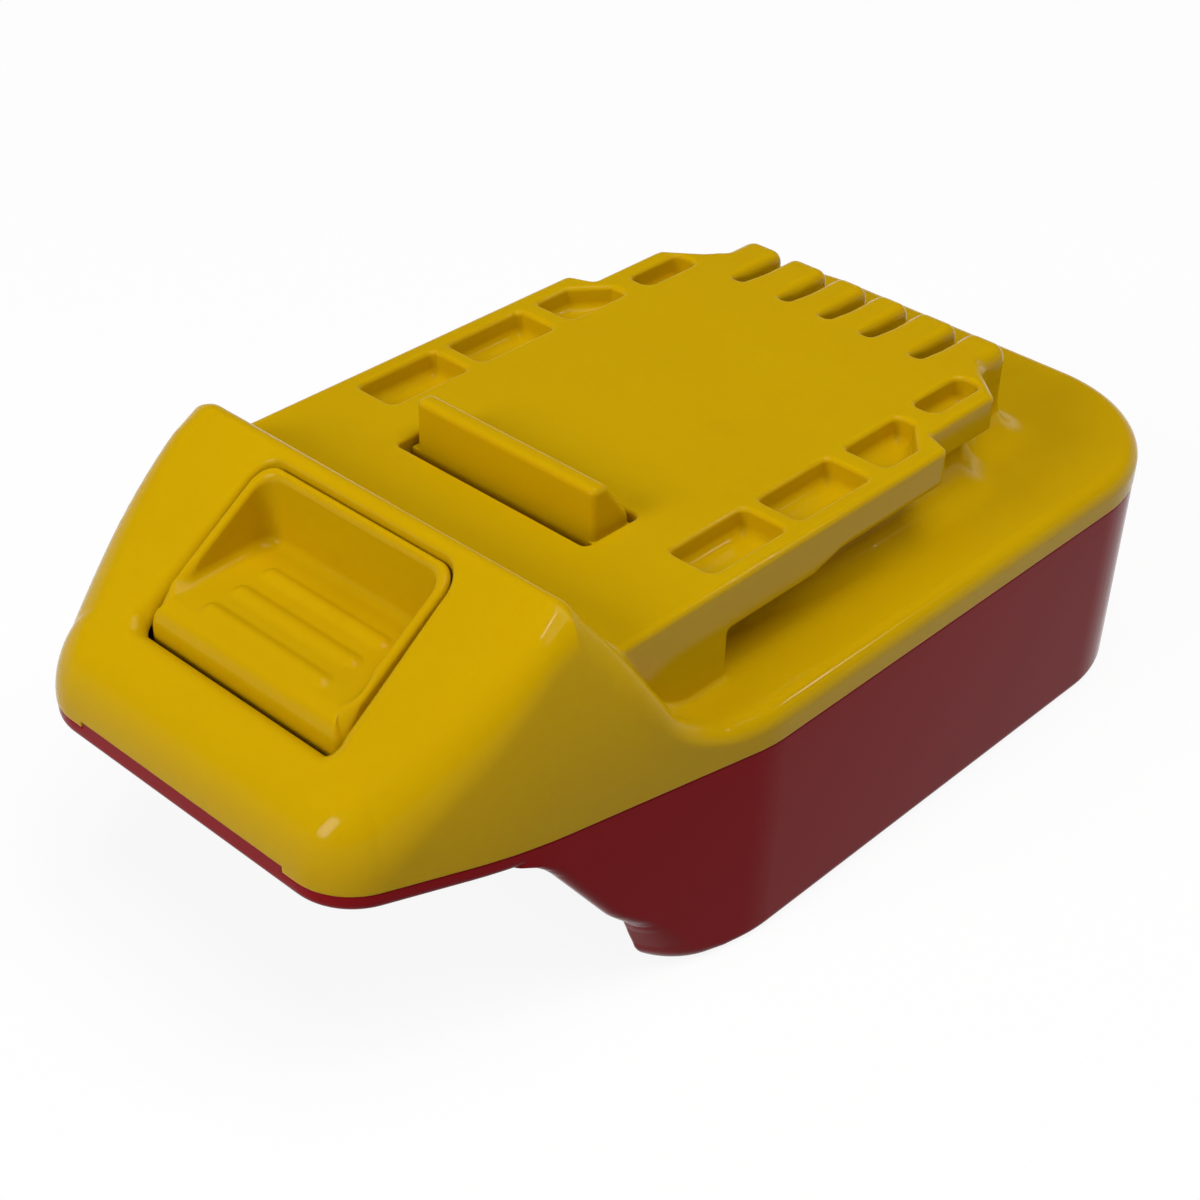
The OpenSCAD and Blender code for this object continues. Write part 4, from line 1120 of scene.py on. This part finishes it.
@dataclass
class Finishes:
    """All finishes of the adapter, made once and shared.

    Attributes:
        yellow: Plastic of the upper shell.
        latch: Plastic of the latch.
        red: Plastic of the lower shell.
        black: Plastic of carrier and terminal block.
        board: Solder mask of the board.
        lacquer: Lacquer of the resistor.
        brass: Metal of the contact clips.
        blade: Metal of the blades.
        zinc: Metal of the screws.
        spring: Metal of the springs.
        sleeves: Sleeves of the positive, negative and sense wire.
    """

    yellow: MouldedPlastic = MouldedPlastic(
        "shell_yellow", (0.585, 0.358, 0.001, 1.0), (0.54, 0.318, 0.001, 1.0)
    )
    latch: MouldedPlastic = MouldedPlastic(
        "latch_yellow", (0.575, 0.348, 0.001, 1.0), (0.53, 0.308, 0.001, 1.0), roughness=0.12, scuffs=0.6
    )
    red: MouldedPlastic = MouldedPlastic(
        "shell_red", (0.285, 0.005, 0.009, 1.0), (0.25, 0.004, 0.007, 1.0),
        roughness=0.12, gloss=0.04, scuffs=0.8, depth=0.1,
    )
    black: MattPlastic = MattPlastic("carrier_black", (0.022, 0.022, 0.024, 1.0))
    board: MattPlastic = MattPlastic("board_mask", (0.03, 0.16, 0.06, 1.0), 0.35, 500.0)
    lacquer: MattPlastic = MattPlastic("resistor_lacquer", (0.5, 0.36, 0.2, 1.0), 0.3, 800.0)
    brass: PlatedMetal = PlatedMetal(
        "clip_brass", (0.72, 0.52, 0.24, 1.0), (0.2, 0.12, 0.05, 1.0), 0.25, Lay.UPRIGHT
    )
    blade: PlatedMetal = PlatedMetal(
        "blade_tin", (0.66, 0.65, 0.62, 1.0), (0.25, 0.23, 0.2, 1.0), 0.26, Lay.ALONG
    )
    zinc: PlatedMetal = PlatedMetal(
        "screw_zinc", (0.5, 0.5, 0.51, 1.0), (0.2, 0.19, 0.17, 1.0), 0.34, Lay.ROUND
    )
    spring: PlatedMetal = PlatedMetal(
        "spring_wire", (0.55, 0.55, 0.56, 1.0), (0.22, 0.2, 0.18, 1.0), 0.3, Lay.ROUND
    )
    sleeves: tuple[MattPlastic, ...] = (
        MattPlastic("sleeve_red", (0.5, 0.03, 0.03, 1.0), 0.45, 600.0),
        MattPlastic("sleeve_black", (0.02, 0.02, 0.02, 1.0), 0.45, 600.0),
        MattPlastic("sleeve_white", (0.75, 0.75, 0.72, 1.0), 0.45, 600.0),
    )

    def dress_inner_pieces(self, nodes: dict[str, bpy.types.Object]) -> None:
        """Give the inner solids their finishes.

        Args:
            nodes: Solids by name.
        """
        wear: list[tuple[Any, tuple[str, ...]]] = [
            (self.black, ("contact_carrier", "socket_terminal_block")),
            (self.board, ("contact_board",)),
            (self.lacquer, ("identity_resistor",)),
            (self.brass, tuple(f"contact_clip_{i}" for i in range(1, 6))),
            (self.blade, ("positive_blade", "negative_blade", "sense_blade")),
            (self.zinc, ("shell_screws", "carrier_screws", "block_screws")),
            (self.sleeves[0], ("positive_wire",)),
            (self.sleeves[1], ("negative_wire",)),
            (self.sleeves[2], ("sense_wire",)),
        ]
        for finish, names in wear:
            material = finish.make()
            for name in names:
                dress(nodes[name], material)
                LOG.info("dressed %s with %s", name, material.name)


def dress(part: bpy.types.Object, material: bpy.types.Material) -> None:
    """Give a part one material."""
    part.data.materials.clear()
    part.data.materials.append(material)


@dataclass
class Studio:
    """Pale floor, soft lamps, even surrounding light and the camera.

    Attributes:
        eye: Camera position in metres.
        right: Direction to the right in the picture.
        down: Direction down in the picture.
        ahead: Direction of view.
        lens: Focal length for a square 36 mm frame.
        dusk: Heights of view between which the surrounding light fades.
        horizon: Light from the horizon.
        zenith: Light from overhead.
        floor_white: Share of plain white in the floor as it is seen.
        aim: Point that the lamps face.
        lamps: Name, position, edge length in metres and power in watts of each lamp.
    """

    eye: tuple[float, float, float] = (0.15, -0.16942, 0.17712)
    right: tuple[float, float, float] = (0.72921, 0.68386, 0.02410)
    down: tuple[float, float, float] = (0.40703, -0.40518, -0.81863)
    ahead: tuple[float, float, float] = (-0.55006, 0.60677, -0.57382)
    lens: float = 68.69
    dusk: tuple[float, float] = (0.1, 0.38)
    horizon: Colour = grey(0.75)
    zenith: Colour = grey(0.05)
    floor_white: float = 0.9
    aim: tuple[float, float, float] = (0.0, 0.0, 0.02)
    lamps: tuple[tuple[str, tuple[float, float, float], float, float], ...] = (
        ("lamp_over", (0.34, 0.06, 1.18), 0.9, 10.4),
        ("lamp_front", (-0.18, -1.02, 0.6), 0.4, 6.9),
        ("lamp_spark", (0.25, -0.42, 1.22), 0.03, 0.6),
        ("lamp_edge", (0.58, 0.82, 0.82), 0.04, 0.7),
    )

    def set_camera(self) -> None:
        """Put the camera where the picture was taken from."""
        data = bpy.data.cameras.new("camera")
        data.lens = self.lens
        data.sensor_width = 36.0
        data.sensor_fit = "HORIZONTAL"
        data.clip_start = 0.01
        camera = bpy.data.objects.new("camera", data)
        columns = (Vector(self.right), -Vector(self.down), -Vector(self.ahead))
        turn = Matrix([[c[row] for c in columns] for row in range(3)])
        camera.matrix_world = Matrix.LocRotScale(Vector(self.eye), turn.to_quaternion(), None)
        bpy.context.scene.collection.objects.link(camera)
        bpy.context.scene.camera = camera

    def set_lamp(self, name: str, place: Sequence[float], size: float, power: float) -> None:
        """Add a square soft lamp.

        Args:
            name: Name of the lamp.
            place: Position in metres.
            size: Edge length.
            power: Power in watts.
        """
        data = bpy.data.lights.new(name, "AREA")
        data.energy = power
        data.size = size
        lamp = bpy.data.objects.new(name, data)
        lamp.location = place
        lamp.rotation_euler = (Vector(self.aim) - Vector(place)).to_track_quat("-Z", "Y").to_euler()
        bpy.context.scene.collection.objects.link(lamp)

    def set_world(self) -> None:
        """Surround the scene with soft light that is pale at the horizon and dim overhead."""
        tree = FinishTree(bpy.data.worlds.new("surround"))
        toward = tree.node("ShaderNodeTexCoord", {}, {}, "Generated")
        height = tree.node("ShaderNodeSeparateXYZ", {}, {0: toward}, "Z")
        tone = tree.blend(tree.ramp(height, *self.dusk), self.horizon, self.zenith)
        light = tree.node("ShaderNodeBackground", {}, {"Color": tone, "Strength": 1.0})
        bpy.context.scene.world = tree.close(light)

    def set_floor(self) -> None:
        """Lay a pale floor that reads as white, also in reflections, and keeps the shadow."""
        tree = FinishTree(bpy.data.materials.new("floor_pale"))
        kinds = ("Camera", "Glossy", "Transmission")
        rays = [tree.node("ShaderNodeLightPath", {}, {}, f"Is {kind} Ray") for kind in kinds]
        seen = (rays[0] + rays[1] + rays[2]).least(1.0)
        mottle = tree.blend(tree.noise(tree.place(), 3.0), grey(0.97), grey(1.0))
        matt = tree.node("ShaderNodeBsdfDiffuse", {}, {"Color": tree.blend(seen, grey(0.25), mottle)})
        glow = tree.node("ShaderNodeEmission", {}, {"Color": grey(1.0), "Strength": 1.0})
        tree.close(tree.node("ShaderNodeMixShader", {}, {0: seen * self.floor_white, 1: matt, 2: glow}))
        floor = add_mesh("floor", [(-6, -6, 0), (6, -6, 0), (6, 6, 0), (-6, 6, 0)], [(0, 1, 2, 3)])
        floor.location.z = -0.00005
        dress(floor, tree.owner)

    def build(self) -> None:
        """Set camera, floor, lamps and surrounding light."""
        self.set_camera()
        self.set_floor()
        self.set_world()
        for lamp in self.lamps:
            self.set_lamp(*lamp)
        bpy.context.scene.view_settings.view_transform = "Standard"
        LOG.info("studio is set")


def main() -> None:
    """Build every sub-assembly in order and dress it."""
    logging.basicConfig(level=logging.INFO, format="%(name)s: %(message)s")
    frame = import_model()
    finishes = Finishes()
    mesher = Mesher()
    upper = UpperShell()
    mouldings: list[tuple[Any, Any, str, str, str]] = [
        (upper, finishes.yellow, "upper_shell", "body", "yellow_shell"),
        (LowerShell(), finishes.red, "lower_shell", "body", "red_shell"),
        (ReleaseLatch(upper), finishes.latch, "release_latch", "latch", "yellow_latch"),
    ]
    for assembly, finish, node, body, slot in mouldings:
        part = assembly.build(mesher)
        dress(part, finish.make())
        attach(part, body)
        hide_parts(node)
        LOG.info("built %s with %d faces", part.name, len(part.data.polygons))
    metal = finishes.spring.make()
    for spring, node in (
        (LatchSpring("left_spring_coil", -8.0), "left_latch_spring"),
        (LatchSpring("right_spring_coil", 8.0), "right_latch_spring"),
    ):
        part = spring.build()
        dress(part, metal)
        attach(part, "body")
        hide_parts(node)
        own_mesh(part)
        LOG.info("built %s", part.name)
    finishes.dress_inner_pieces(frame["nodes"])
    Studio().build()


if __name__ == "__main__":
    main()
